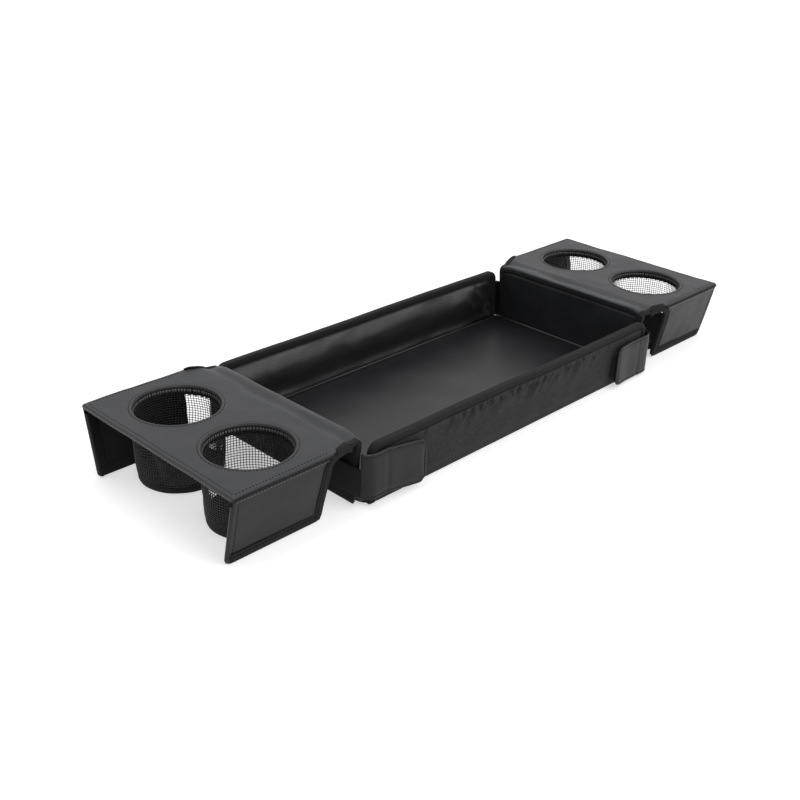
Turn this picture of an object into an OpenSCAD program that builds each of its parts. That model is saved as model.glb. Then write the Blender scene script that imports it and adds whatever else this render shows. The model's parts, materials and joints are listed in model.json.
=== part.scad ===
// Folding tray with two cup holders at each end, hung over a pair of side rails.
// Millimetres, +Z up. The origin is on the table, under the middle of the tray floor.
// +X runs to the right-hand cup holders and +Y to the back wall.
// Each piece is drawn at the right and back, and mirrored to where it belongs.

/* [Tray] */
// Clear length between the two end panels
tray_length = 483.6; // [400:0.1:600]
// Clear width between the long walls, at the floor
tray_width = 233.6; // [200:0.1:280]
// Height of the long walls above the table
wall_height = 71; // [60:0.5:76]
// Outward lean of the long walls, in degrees
wall_lean = 2.7; // [1:0.1:3.5]
// Thickness of the padded stiffener in a long wall
wall_board_t = 5; // [3:0.1:5.5]
// Corner radius at the top of a long wall
wall_corner_r = 12; // [8:1:18]
// Open corner between a long wall and an end panel
corner_gap = 7; // [5.5:0.1:9]
// Thickness of the woven cover under the floor
base_t = 1.2; // [0.8:0.1:1.6]
// Thickness of the floor stiffener
floor_board_t = 2.8; // [2:0.1:4]
// Thickness of the leather on the floor
floor_liner_t = 1; // [0.8:0.1:1.5]
// Radius of the welt sewn round the floor
welt_r = 1.5; // [1:0.1:2]

/* [End panels] */
// Distance of an end panel's side edge inside the floor's edge, at the floor
end_foot_inset = 6.8; // [4.8:0.1:20]
// Distance of an end panel's side edge outside the floor's edge, at the crease
end_head_spread = 1.2; // [-10:0.1:2.2]
// Thickness of the stiffener in an end panel
end_board_t = 2.6; // [2:0.1:3]
// Radius of the rolled crease on top of an end panel
crease_r = 2.6; // [2.4:0.1:3]

/* [Saddles] */
// Height of the saddle tops above the table
saddle_height = 80; // [79:0.5:95]
// Distance of a saddle's neck inside the end panel's edge, at the crease
neck_inset = 1; // [0:0.1:10]
// Width of the rail slot, from the crease to the flaps
rail_slot = 41; // [36:0.5:42]
// Thickness of the stiffener in a saddle
saddle_board_t = 3.2; // [2:0.1:4]
// Depth of the soft valley beside the crease
valley_depth = 1.8; // [0.5:0.1:2.4]
// Length of the soft valley beside the crease
valley_length = 18.7; // [14:0.1:22]

/* [Cup holders] */
// Radius of a cup opening
cup_r = 45; // [38:0.5:52]
// Leather left between the two cup openings of a saddle
cup_gap = 27; // [14:0.5:40]
// Leather left between the rail slot and the cup openings
cup_slot_margin = 4.7; // [4.7:0.1:20]
// Leather left between the cup openings and the outer hem
cup_hem_margin = 25; // [10:0.5:40]
// Leather left between a cup opening and the fold of its flap
cup_side_margin = 21.5; // [21.5:0.5:40]
// Swell of a mesh sleeve half way down
sleeve_belly = 3.3; // [0:0.1:3.3]
// Taper of a mesh sleeve at its foot
sleeve_taper = 1.6; // [0:0.1:4]
// Thickness of the mesh
mesh_t = 1.2; // [0.8:0.1:1.4]
// Height of the plain band round a cup base
band_height = 10; // [6:0.5:16]
// Thickness of the disc in a cup base
disc_t = 2.4; // [1.6:0.1:4]

/* [Flaps] */
// Distance that a flap's lower edge hangs inside its fold
flap_tuck = 15.7; // [8:0.1:15.7]
// Gap between a flap's lower edge and the table
flap_lift = 0.3; // [0.2:0.1:2]
// Extra distance of a flap's lower corner from the slot
flap_rake = 5; // [0:0.5:8]
// Thickness of the stiffened leather panel of a flap
flap_panel_t = 3.2; // [2:0.1:3.4]
// Radius of a flap's lower outer corner
flap_corner_r = 7; // [3:0.5:12]

/* [Corner tabs] */
// Height of a corner tab
tab_height = 46; // [36:1:50]
// Height of a corner tab's lower edge above the table
tab_bottom = 7; // [4:0.5:12]
// Free length of a corner tab beyond its stitched fold
tab_length = 49; // [36:0.5:60]
// Distance from the wrapped corner to the stitched fold
tab_root = 16.4; // [10:0.1:20]
// Thickness of a corner tab
tab_t = 2.4; // [1.6:0.1:2.6]
// Radius of the free corners of a tab
tab_corner_r = 12; // [4:0.5:16]
// Inner radius of the wrap round the tray corner
wrap_r = 12.4; // [12:0.1:14]
// Distance of the strap's edges inside the tab's edges
strap_margin = 7; // [2:0.5:10]
// Length of the strap on the end panel
strap_length = 28; // [20:0.5:40]
// Length of the stitched end of the strap
strap_seat = 5; // [3:0.5:8]
// Distance of the hook and loop patches inside the tab's long edges
patch_margin = 4; // [2:0.5:10]
// Distance of the hook and loop patches inside the tab's free end
patch_end_margin = 2.8; // [2:0.1:10]
// Thickness of a hook or loop patch
patch_t = 1.2; // [0.8:0.1:1.3]

/* [Cloth] */
// Thickness of the soft leather on the saddles
leather_t = 1.4; // [1:0.1:1.6]
// Thickness of the leather and woven skins of the walls
skin_t = 1.2; // [0.8:0.1:1.3]
// Thickness of the dark lining
lining_t = 1; // [0.6:0.1:1.2]
// Thickness of the binding tape
tape_t = 0.9; // [0.6:0.1:0.9]
// Width of the binding tape
tape_width = 9; // [6:0.5:12]

/* [Hidden] */
$fn = 96;
left = -1;
right = 1;
front = -1;
back = 1;
// Clearance beside a seam that folds
seam_gap = 0.3;
// Length by which cutting shapes overrun
overrun = 10;
// Steps along one rounded corner
corner_steps = 8;
// Steps along the valley and along the side of a mesh sleeve
curve_steps = 10;

floor_top = base_t + floor_board_t + floor_liner_t;
end_in = tray_length / 2;
end_out = end_in + skin_t + end_board_t + skin_t;
end_foot = base_t / 2 + seam_gap;
end_foot_half = tray_width / 2 - end_foot_inset;
end_head_half = tray_width / 2 + end_head_spread;
floor_half_l = end_in - seam_gap - 2 * welt_r;
floor_half_w = tray_width / 2 - seam_gap - 2 * welt_r;
welt_x = floor_half_l + welt_r;
welt_y = floor_half_w + welt_r;
welt_z = floor_top - welt_r / 2;

wall_in = welt_r + seam_gap;
wall_t = skin_t + wall_board_t + skin_t;
wall_out = wall_in + wall_t;
wall_half_l = end_in - corner_gap - tape_t;
wall_drop = welt_z - base_t - seam_gap - wall_out * sin(wall_lean);
wall_rise = (wall_height - welt_z) / cos(wall_lean) - tape_t;

crease_x = (end_in + end_out) / 2;
crease_z = saddle_height - crease_r;
crease_foot = crease_z - crease_r;

saddle_in = crease_x + crease_r + seam_gap;
slot_out = crease_x + rail_slot;
cup_x = slot_out + cup_slot_margin + cup_r;
cup_y = cup_gap / 2 + cup_r;
saddle_out = cup_x + cup_r + cup_hem_margin;
saddle_half = cup_y + cup_r + cup_side_margin;
saddle_neck_half = end_head_half - neck_inset;
board_in = saddle_in + valley_length + saddle_board_t / 2;
board_top = saddle_height - leather_t;
board_foot = board_top - saddle_board_t;
saddle_foot = board_foot - lining_t;

sleeve_foot_r = cup_r - sleeve_taper;
sleeve_top = saddle_foot - mesh_t;
sleeve_foot = band_height + seam_gap;
hem_width = mesh_t * 4;

flap_hinge_z = saddle_foot - seam_gap;
flap_t = flap_panel_t + lining_t;
flap_slant = atan(flap_tuck / (flap_hinge_z - flap_lift));
flap_length = (flap_hinge_z - flap_lift) / cos(flap_slant) - tape_t;
flap_head = flap_t * tan(flap_slant);

wrap_x = end_out + tape_t + seam_gap / 3 - wrap_r;
wall_reach = welt_y + (wall_out + max(tape_t, patch_t)) * cos(wall_lean) + (wall_rise + tape_t) * sin(wall_lean);
tab_in = wall_reach + seam_gap + patch_t;
tab_out = tab_in + tab_t;
wrap_y = tab_in - wrap_r;
fold_x = wrap_x - tab_root;
tab_mid = tab_bottom + tab_height / 2;
strap_height = tab_height - 2 * strap_margin;
patch_height = tab_height - 2 * patch_margin;
patch_length = tab_length - tab_root / 2 - patch_end_margin;

// Mirrors what is drawn at the right and back to the wanted end and side
module place(end, side = back) {
  mirror([end == left ? 1 : 0, 0, 0])
    mirror([0, side == front ? 1 : 0, 0])
      children();
}

// A box that runs from -half_l to half_l and -half_w to half_w above z
module slab(half_l, half_w, z, t) {
  translate([-half_l, -half_w, z])
    cube([half_l * 2, half_w * 2, t]);
}

// Points along a round corner about a centre, from one angle to another
function corner(cx, cy, r, from, to) = [
  for (i = [0 : corner_steps])
    let (a = from + (to - from) * i / corner_steps)
      [cx + r * cos(a), cy + r * sin(a)]
];

// Drawn in x and z, and thickened from y0 to y1
module upright(y0, y1) {
  translate([0, y1, 0])
    rotate([90, 0, 0])
      linear_extrude(y1 - y0)
        children();
}

// Drawn in y and z, and thickened from x0 to x1
module crosswise(x0, x1) {
  translate([x0, 0, 0])
    rotate([90, 0, 90])
      linear_extrude(x1 - x0)
        children();
}

// Floor

module base_cover() {
  color([0.13, 0.13, 0.135])
    slab(end_in - 2 * seam_gap, welt_y + wall_out, 0, base_t);
}

module floor_board() {
  color([0.3, 0.28, 0.25])
    slab(floor_half_l, floor_half_w, base_t, floor_board_t);
}

module floor_liner() {
  color([0.16, 0.16, 0.165])
    slab(floor_half_l, floor_half_w, base_t + floor_board_t, floor_liner_t);
}

module welt_run(length) {
  rotate([0, 90, 0])
    cylinder(r = welt_r, h = length, center = true);
}

module floor_welt() {
  color([0.1, 0.1, 0.1])
    translate([0, 0, welt_z]) {
      for (side = [front, back])
        translate([0, side * welt_y, 0])
          welt_run(welt_x * 2);
      for (end = [left, right])
        translate([end * welt_x, 0, 0])
          rotate([0, 0, 90])
            welt_run(welt_y * 2);
      for (end = [left, right], side = [front, back])
        translate([end * welt_x, side * welt_y, 0])
          sphere(r = welt_r);
    }
}

// Long walls, drawn upright about the welt that they fold on

module long_wall(side) {
  place(right, side)
    translate([0, welt_y, welt_z])
      rotate([-wall_lean, 0, 0])
        children();
}

// Outline of a long wall, grown past its top and ends
function wall_outline(grow, foot) = let (l = wall_half_l + grow, h = wall_rise + grow, r = wall_corner_r + grow)
  concat(
    [[-l, foot], [l, foot]],
    corner(l - r, h - r, r, 0, 90),
    corner(r - l, h - r, r, 90, 180)
  );

module wall_layer(y0, t) {
  upright(y0, y0 + t)
    polygon(wall_outline(0, -wall_drop));
}

module wall_liner(side) {
  color([0.17, 0.17, 0.175])
    long_wall(side)
      wall_layer(wall_in, skin_t);
}

module wall_board(side) {
  color([0.3, 0.28, 0.25])
    long_wall(side)
      wall_layer(wall_in + skin_t, wall_board_t);
}

module wall_cover(side) {
  color([0.12, 0.12, 0.125])
    long_wall(side)
      wall_layer(wall_out - skin_t, skin_t);
}

module wall_binding(side) {
  color([0.09, 0.09, 0.09])
    long_wall(side)
      difference() {
        upright(wall_in - tape_t, wall_out + tape_t)
          polygon(wall_outline(tape_t, 2 * welt_r));
        upright(wall_in, wall_out)
          polygon(wall_outline(0, -wall_drop));
        upright(wall_in - overrun, wall_out + overrun)
          polygon(wall_outline(tape_t - tape_width, -wall_drop));
      }
}

module wall_loop_patches(side) {
  color([0.07, 0.07, 0.07])
    for (end = [left, right])
      place(end)
        long_wall(side)
          translate([fold_x - tab_root / 2 - patch_length, wall_out, tab_mid - welt_z - patch_height / 2])
            cube([patch_length, patch_t, patch_height]);
}

// End panels

// Outline of an end panel, drawn in from its sides, between two heights
function end_outline(inset, low, high) =
  let (
    slope = (end_head_half - end_foot_half) / (crease_z - end_foot),
    w0 = end_foot_half + slope * (low - end_foot) - inset,
    w1 = end_foot_half + slope * (high - end_foot) - inset
  )
  [[-w0, low], [w0, low], [w1, high], [-w1, high]];

module end_liner(end) {
  color([0.16, 0.16, 0.165])
    place(end) {
      crosswise(end_in, end_in + skin_t)
        polygon(end_outline(tape_t, end_foot, crease_z));
      translate([crease_x, 0, crease_z])
        rotate([90, 0, 0])
          cylinder(r = crease_r, h = 2 * (end_head_half - tape_t), center = true);
    }
}

module end_board(end) {
  color([0.3, 0.28, 0.25])
    place(end)
      crosswise(end_in + skin_t, end_out - skin_t)
        polygon(end_outline(tape_t, end_foot, crease_foot));
}

module end_cover(end) {
  color([0.12, 0.12, 0.125])
    place(end)
      crosswise(end_out - skin_t, end_out)
        polygon(end_outline(tape_t, end_foot, crease_foot));
}

module end_bindings(end) {
  low = end_foot + tape_width;
  high = crease_foot - crease_r;
  color([0.09, 0.09, 0.09])
    place(end)
      difference() {
        crosswise(end_in - tape_t, end_out + tape_t)
          polygon(end_outline(0, low, high));
        crosswise(end_in, end_out)
          polygon(end_outline(tape_t, end_foot, crease_foot));
        crosswise(end_in - overrun, end_out + overrun)
          polygon(end_outline(tape_width, end_foot, crease_foot));
      }
}

// Strap on the end panel, its wrap round the corner and its run to the stitched fold
module corner_straps(end) {
  strap_x = wrap_x + wrap_r;
  strap_y = wrap_y - strap_length;
  turn_out = corner(wrap_x, wrap_y, wrap_r + tab_t, 0, 90);
  turn_in = reversed(corner(wrap_x, wrap_y, wrap_r, 0, 90));
  color([0.1, 0.1, 0.1])
    for (side = [front, back])
      place(end, side) {
        translate([0, 0, tab_mid - strap_height / 2])
          linear_extrude(strap_height)
            polygon(concat([[strap_x + tab_t, strap_y]], turn_out, turn_in, [[strap_x, strap_y]]));
        translate([end_out, strap_y, tab_mid - strap_height / 2])
          cube([strap_x - end_out + tab_t, strap_seat, strap_height]);
        translate([0, 0, tab_bottom])
          linear_extrude(tab_height)
            polygon(concat(turn_out, [[fold_x, tab_out], [fold_x, tab_in]], turn_in));
      }
}

// Saddles

// Plan of a saddle, drawn in from its edges
function saddle_plan(inset) =
  let (
    x1 = saddle_out - inset,
    w0 = saddle_neck_half - inset,
    w1 = saddle_half - inset
  )
  [[saddle_in, -w0], [slot_out, -w1], [x1, -w1], [x1, w1], [slot_out, w1], [saddle_in, w0]];

// Line across a saddle's top, from the crease over the valley to the outer edge
function top_line(drop, x1) = concat(
  [
    for (i = [0 : curve_steps])
      let (s = i / curve_steps)
        [saddle_in + valley_length * s, saddle_height - drop - valley_depth * (1 - cos(360 * s)) / 2]
  ],
  [[x1, saddle_height - drop]]
);

// Line across a saddle's lower face, which steps down round the stiffener
function under_line(drop, x1) = concat(
  [
    for (i = [0 : curve_steps])
      let (s = i / curve_steps)
        [
          saddle_in + (valley_length - lining_t) * s,
          saddle_height - leather_t - drop - valley_depth * (1 - cos(360 * s)) / 2
        ]
  ],
  [[board_in - lining_t, board_foot - drop], [x1, board_foot - drop]]
);

function reversed(points) = [for (i = [len(points) - 1 : -1 : 0]) points[i]];

// The shape between two lines across the saddle, over its whole width
module saddle_band(top, under) {
  upright(-saddle_half - overrun, saddle_half + overrun)
    polygon(concat(top, reversed(under)));
}

// What lies inside the saddle's plan
module in_plan(inset) {
  intersection() {
    linear_extrude(saddle_height + overrun)
      polygon(saddle_plan(inset));
    children();
  }
}

module cup_bores() {
  for (side = [front, back])
    translate([cup_x, side * cup_y, saddle_foot - overrun])
      cylinder(r = cup_r, h = saddle_height - saddle_foot + 2 * overrun);
}

module saddle_cover(end) {
  color([0.2, 0.2, 0.205])
    place(end)
      difference() {
        union() {
          in_plan(0)
            saddle_band(top_line(0, saddle_out), top_line(leather_t, saddle_out));
          for (side = [front, back])
            place(right, side)
              translate([slot_out, saddle_half - leather_t, saddle_foot])
                cube([saddle_out - slot_out, leather_t, saddle_height - saddle_foot]);
          translate([saddle_out - leather_t, -saddle_half, saddle_foot])
            cube([leather_t, 2 * saddle_half, saddle_height - saddle_foot]);
        }
        cup_bores();
      }
}

module saddle_board(end) {
  color([0.3, 0.28, 0.25])
    place(end)
      difference() {
        in_plan(leather_t)
          translate([board_in, -saddle_half, board_foot])
            cube([saddle_out - board_in, 2 * saddle_half, saddle_board_t]);
        cup_bores();
      }
}

module saddle_lining(end) {
  x1 = saddle_out - leather_t;
  upper = concat(
    top_line(leather_t, saddle_in + valley_length),
    [[board_in, board_foot], [x1, board_foot]]
  );
  color([0.08, 0.08, 0.085])
    place(end)
      difference() {
        in_plan(leather_t)
          saddle_band(upper, under_line(lining_t, x1));
        cup_bores();
      }
}

module notch_bindings(end) {
  inner = saddle_in + tape_width / 4;
  color([0.09, 0.09, 0.09])
    place(end)
      difference() {
        intersection() {
          in_plan(-tape_t)
            saddle_band(top_line(-tape_t, saddle_out), under_line(lining_t + tape_t, saddle_out));
          translate([inner, -2 * saddle_half, 0])
            cube([slot_out - inner, 4 * saddle_half, 2 * saddle_height]);
        }
        in_plan(0)
          saddle_band(top_line(0, saddle_out), under_line(lining_t, saddle_out));
        in_plan(tape_width)
          saddle_band(top_line(-overrun, saddle_out), under_line(overrun, saddle_out));
      }
}

// Mesh cup holders

// Inner radius of a sleeve at a share of its height, from 0 at its foot to 1 at its top
function sleeve_r(s) = sleeve_foot_r + sleeve_taper * s + sleeve_belly * sin(180 * s);

module mesh_sleeve(end, side) {
  h = sleeve_top - sleeve_foot;
  inner = [for (i = [0 : curve_steps]) let (s = i / curve_steps) [sleeve_r(s), sleeve_foot + h * s]];
  outer = [for (p = reversed(inner)) [p[0] + mesh_t, p[1]]];
  hem = [
    [cup_r, saddle_foot],
    [cup_r + hem_width, saddle_foot],
    [cup_r + hem_width, sleeve_top]
  ];
  color([0.06, 0.06, 0.06])
    place(end, side)
      translate([cup_x, cup_y, 0])
        rotate_extrude()
          polygon(concat(inner, hem, outer));
}

module cup_base(end, side) {
  color([0.08, 0.08, 0.08])
    place(end, side)
      translate([cup_x, cup_y, 0])
        difference() {
          cylinder(r = sleeve_foot_r + mesh_t, h = band_height);
          translate([0, 0, disc_t])
            cylinder(r = sleeve_foot_r, h = band_height);
        }
}

// Flaps, drawn hanging from the fold at the saddle's side edge

module flap_place(end, side) {
  place(end, side)
    translate([0, saddle_half, flap_hinge_z])
      rotate([-flap_slant, 0, 0])
        children();
}

// Outline of a flap, grown past its slot edge and its lower edge
function flap_outline(grow) =
  let (r = flap_corner_r + grow, foot = -flap_length - grow, x0 = slot_out - grow)
  concat(
    [[x0, -flap_head]],
    corner(x0 + flap_rake + r / 2, foot + r / 2, r / 2, 180, 270),
    corner(saddle_out - r, foot + r, r, -90, 0),
    [[saddle_out, -flap_head]]
  );

module flap_panel(end, side) {
  color([0.14, 0.14, 0.145])
    flap_place(end, side)
      upright(-flap_panel_t, 0)
        polygon(flap_outline(0));
}

module flap_lining(end, side) {
  color([0.07, 0.07, 0.07])
    flap_place(end, side)
      upright(-flap_t, -flap_panel_t)
        polygon(flap_outline(0));
}

module flap_binding(end, side) {
  color([0.09, 0.09, 0.09])
    flap_place(end, side)
      difference() {
        upright(-flap_t - tape_t, tape_t)
          polygon(flap_outline(tape_t));
        upright(-flap_t, 0)
          polygon(flap_outline(0));
        translate([slot_out + flap_rake / 2 + tape_width, -flap_t - overrun, tape_width - flap_length])
          cube([saddle_out - slot_out, flap_t + 2 * overrun, flap_length]);
        translate([slot_out - overrun, -flap_t - overrun, -2 * tape_t])
          cube([saddle_out - slot_out + 2 * overrun, flap_t + 2 * overrun, overrun]);
      }
}

// Corner tabs

// Outline of a tab's free part, with round free corners
function tab_outline() =
  let (x0 = fold_x - tab_length, z1 = tab_bottom + tab_height, r = tab_corner_r)
  concat(
    [[fold_x - seam_gap, tab_bottom], [fold_x - seam_gap, z1]],
    corner(x0 + r, z1 - r, r, 90, 180),
    corner(x0 + r, tab_bottom + r, r, 180, 270)
  );

module tab(end, side) {
  color([0.15, 0.15, 0.155])
    place(end, side)
      upright(tab_in, tab_out)
        polygon(tab_outline());
}

module hook_patch(end, side) {
  color([0.06, 0.06, 0.06])
    place(end, side)
      translate([fold_x - tab_root / 2 - patch_length, tab_in - patch_t, tab_mid - patch_height / 2])
        cube([patch_length, patch_t, patch_height]);
}

base_cover();
floor_board();
floor_liner();
floor_welt();
wall_liner(front);  // front_wall_liner
wall_board(front);  // front_wall_board
wall_cover(front);  // front_wall_cover
wall_binding(front);  // front_wall_binding
wall_loop_patches(front);  // front_wall_loop_patches
wall_liner(back);  // back_wall_liner
wall_board(back);  // back_wall_board
wall_cover(back);  // back_wall_cover
wall_binding(back);  // back_wall_binding
wall_loop_patches(back);  // back_wall_loop_patches
end_liner(left);  // left_end_liner
end_board(left);  // left_end_board
end_cover(left);  // left_end_cover
end_bindings(left);  // left_end_bindings
corner_straps(left);  // left_corner_straps
end_liner(right);  // right_end_liner
end_board(right);  // right_end_board
end_cover(right);  // right_end_cover
end_bindings(right);  // right_end_bindings
corner_straps(right);  // right_corner_straps
saddle_cover(left);  // left_saddle_cover
saddle_board(left);  // left_saddle_board
saddle_lining(left);  // left_saddle_lining
notch_bindings(left);  // left_notch_bindings
saddle_cover(right);  // right_saddle_cover
saddle_board(right);  // right_saddle_board
saddle_lining(right);  // right_saddle_lining
notch_bindings(right);  // right_notch_bindings
mesh_sleeve(left, front);  // left_front_mesh_sleeve
mesh_sleeve(left, back);  // left_back_mesh_sleeve
mesh_sleeve(right, front);  // right_front_mesh_sleeve
mesh_sleeve(right, back);  // right_back_mesh_sleeve
cup_base(left, front);  // left_front_cup_base
cup_base(left, back);  // left_back_cup_base
cup_base(right, front);  // right_front_cup_base
cup_base(right, back);  // right_back_cup_base
flap_panel(left, front);  // left_front_flap_panel
flap_lining(left, front);  // left_front_flap_lining
flap_binding(left, front);  // left_front_flap_binding
flap_panel(left, back);  // left_back_flap_panel
flap_lining(left, back);  // left_back_flap_lining
flap_binding(left, back);  // left_back_flap_binding
flap_panel(right, front);  // right_front_flap_panel
flap_lining(right, front);  // right_front_flap_lining
flap_binding(right, front);  // right_front_flap_binding
flap_panel(right, back);  // right_back_flap_panel
flap_lining(right, back);  // right_back_flap_lining
flap_binding(right, back);  // right_back_flap_binding
tab(left, front);  // left_front_tab
hook_patch(left, front);  // left_front_hook_patch
tab(left, back);  // left_back_tab
hook_patch(left, back);  // left_back_hook_patch
tab(right, front);  // right_front_tab
hook_patch(right, front);  // right_front_hook_patch
tab(right, back);  // right_back_tab
hook_patch(right, back);  // right_back_hook_patch
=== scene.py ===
# %% [markdown]
# # A folding tray with four mesh cup holders
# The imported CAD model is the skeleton: it gives every size, every fold line and every moving body. This
# script dresses it with leather, woven cloth, tape, mesh and thread, and never moves a CAD part. All the
# sizes below are in millimetres, and become metres when a mesh is made.

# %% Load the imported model
import json
import math

import bmesh
import bpy
import numpy as np
from mathutils import Matrix, Vector, noise
from mathutils.geometry import delaunay_2d_cdt


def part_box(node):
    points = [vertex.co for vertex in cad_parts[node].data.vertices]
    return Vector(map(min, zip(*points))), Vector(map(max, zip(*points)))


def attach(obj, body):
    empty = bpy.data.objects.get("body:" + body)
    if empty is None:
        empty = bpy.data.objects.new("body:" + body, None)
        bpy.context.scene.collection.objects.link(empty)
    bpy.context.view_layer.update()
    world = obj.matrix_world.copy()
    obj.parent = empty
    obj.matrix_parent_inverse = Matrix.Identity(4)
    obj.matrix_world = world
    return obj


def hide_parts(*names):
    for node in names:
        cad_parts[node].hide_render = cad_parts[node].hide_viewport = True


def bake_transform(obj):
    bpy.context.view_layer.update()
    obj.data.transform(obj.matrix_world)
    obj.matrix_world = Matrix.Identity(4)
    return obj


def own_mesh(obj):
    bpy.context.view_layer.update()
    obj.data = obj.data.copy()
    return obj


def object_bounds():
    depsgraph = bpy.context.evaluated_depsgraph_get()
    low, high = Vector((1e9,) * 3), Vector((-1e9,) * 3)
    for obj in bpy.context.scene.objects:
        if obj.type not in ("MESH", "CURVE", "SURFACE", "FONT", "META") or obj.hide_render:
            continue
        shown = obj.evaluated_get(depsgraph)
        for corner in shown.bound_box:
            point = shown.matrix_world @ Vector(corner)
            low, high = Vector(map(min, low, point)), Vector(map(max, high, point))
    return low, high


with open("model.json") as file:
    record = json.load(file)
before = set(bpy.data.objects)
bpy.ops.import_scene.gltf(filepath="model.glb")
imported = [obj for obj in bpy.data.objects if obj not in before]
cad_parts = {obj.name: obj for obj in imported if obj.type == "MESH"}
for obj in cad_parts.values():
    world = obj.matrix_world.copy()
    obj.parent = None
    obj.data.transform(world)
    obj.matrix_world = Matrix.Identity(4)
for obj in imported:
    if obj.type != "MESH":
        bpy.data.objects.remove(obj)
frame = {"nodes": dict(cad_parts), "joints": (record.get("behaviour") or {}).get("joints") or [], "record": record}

MM = 0.001
ENDS = {"left": -1, "right": 1}
SIDES = {"front": -1, "back": 1}
CORNERS = {f"{e}_{s}": (ENDS[e], SIDES[s]) for e in ENDS for s in SIDES}
END_NAMES = {end: name for name, end in ENDS.items()}
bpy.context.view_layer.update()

# %% [markdown]
# ## The camera
# The photograph was taken from the front left, a little above the tray, with a fairly long lens. A camera
# is placed by the point that it looks at, its direction, its distance and a small roll. Working from these
# numbers keeps the perspective right, because they were solved from the rims of the cup openings and the
# corners of the tray.

# %% Place the camera
FRAME_PX = 800
SENSOR = 36.0
camera_azimuth, camera_elevation, camera_roll = -45.82, 26.56, 1.61
camera_distance = 1337.1
camera_target = Vector((-44.56, 24.19, 0))
focal_px = 1115.5
camera_reach = 50


def place_camera():
    azimuth, elevation, roll = map(math.radians, (camera_azimuth, camera_elevation, camera_roll))
    level = math.cos(elevation)
    back = Vector((math.sin(azimuth) * level, -math.cos(azimuth) * level, math.sin(elevation)))
    right = Vector((math.cos(azimuth), math.sin(azimuth), 0))
    up = back.cross(right)
    turned_right = right * math.cos(roll) + up * math.sin(roll)
    turned_up = up * math.cos(roll) - right * math.sin(roll)
    lens = bpy.data.cameras.new("camera")
    lens.sensor_width = SENSOR
    lens.lens = SENSOR * focal_px / FRAME_PX
    lens.clip_end = camera_reach
    camera = bpy.data.objects.new("camera", lens)
    bpy.context.scene.collection.objects.link(camera)
    place = Matrix.Translation((camera_target + back * camera_distance) * MM)
    camera.matrix_world = place @ Matrix((turned_right, turned_up, back)).transposed().to_4x4()
    bpy.context.scene.camera = camera
    return camera


camera = place_camera()
camera_place = [round(c, 3) for c in camera.matrix_world.translation]
print("camera at", camera_place, "lens", round(camera.data.lens, 1))

# %% [markdown]
# ## Writing shader maths as plain expressions
# A material is a graph of nodes, and wiring it by hand hides the idea behind it. This small class holds one
# output socket. Adding or multiplying it makes the Math node and links it, so a pattern reads like the
# formula that it is. Every other node comes from `node`, which takes the type, the settings and the values
# of the sockets.


# %% A socket that does arithmetic
class Wire:
    """An output socket in a node tree. Operators on it add Math nodes."""

    def __init__(self, tree, socket):
        self.tree = tree
        self.socket = socket

    def node(self, kind, settings=None, sockets=None, output=0):
        made = self.tree.nodes.new(kind)
        for key, value in (settings or {}).items():
            setattr(made, key, value)
        for key, value in (sockets or {}).items():
            if isinstance(value, Wire):
                self.tree.links.new(value.socket, made.inputs[key])
            else:
                made.inputs[key].default_value = value
        return Wire(self.tree, made.outputs[output])

    def math(self, operation, *values):
        return self.node("ShaderNodeMath", {"operation": operation}, dict(enumerate(values)))

    def __add__(self, other):
        return self.math("ADD", self, other)

    def __sub__(self, other):
        return self.math("SUBTRACT", self, other)

    def __rsub__(self, other):
        return self.math("SUBTRACT", other, self)

    def __mul__(self, other):
        return self.math("MULTIPLY", self, other)

    __radd__ = __add__
    __rmul__ = __mul__

    def sine(self):
        return self.math("SINE", self)

    def at_most(self, limit):
        return self.math("MINIMUM", self, limit)

    def part(self, name):
        return Wire(self.tree, self.socket.node.outputs[name])


# %% [markdown]
# ## Materials
# Everything on this tray is black or charcoal, so the finishes have to differ in how they take the light:
# the leather has a fine grain and a soft sheen, the woven cover is rough and speckled, the tape is ribbed
# and the mesh threads are slightly glossy. Each function below builds one finish from noise and waves, at
# the scale of the real one.


# %% Starting a material
def start_material(name, roughness, specular):
    material = bpy.data.materials.new(name)
    material.use_nodes = True
    shader = material.node_tree.nodes["Principled BSDF"]
    shader.inputs["Roughness"].default_value = roughness
    shader.inputs["Specular IOR Level"].default_value = specular
    spots = material.node_tree.nodes.new("ShaderNodeTexCoord")
    return material, shader, Wire(material.node_tree, spots.outputs["Object"])


def feed(shader, socket, wire):
    wire.tree.links.new(wire.socket, shader.inputs[socket])


def raise_by(shader, height, distance):
    """Bump of that many millimetres, from a height wire that runs from 0 to 1."""
    sockets = {"Height": height, "Distance": distance * MM, "Strength": 1.0}
    feed(shader, "Normal", height.node("ShaderNodeBump", {}, sockets))


# %% [markdown]
# A Mix node has one set of sockets for numbers, one for vectors and one for colours, all with the same
# names, so the colour sockets are reached by their numbers. `tint` hides that: it is the one place where
# two colours are mixed.


# %% Colours
MIX_LEVEL, MIX_FROM, MIX_TO, MIX_RESULT = 0, 6, 7, 2


def shade(colour, gain):
    return [c * gain for c in colour]


def tint(level, dark, light):
    """A colour between two others, chosen by a wire from 0 to 1. The first may be a wire itself."""
    first = dark if isinstance(dark, Wire) else (*dark, 1)
    sockets = {MIX_LEVEL: level, MIX_FROM: first, MIX_TO: (*light, 1)}
    return level.node("ShaderNodeMix", {"data_type": "RGBA", "clamp_factor": True}, sockets, MIX_RESULT)


# %% [markdown]
# The patterns come from three sources: noise in the object's own space, the flat pattern's coordinates, and
# values that the mesh carries at its points.


# %% Sources of a pattern
def clouds(where, size, detail=2.0, rough=0.5):
    """Soft noise from 0 to 1 whose patches are about size millimetres across."""
    sockets = {"Vector": where, "Scale": 1 / (size * MM), "Detail": detail, "Roughness": rough}
    return where.node("ShaderNodeTexNoise", {}, sockets)


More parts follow.
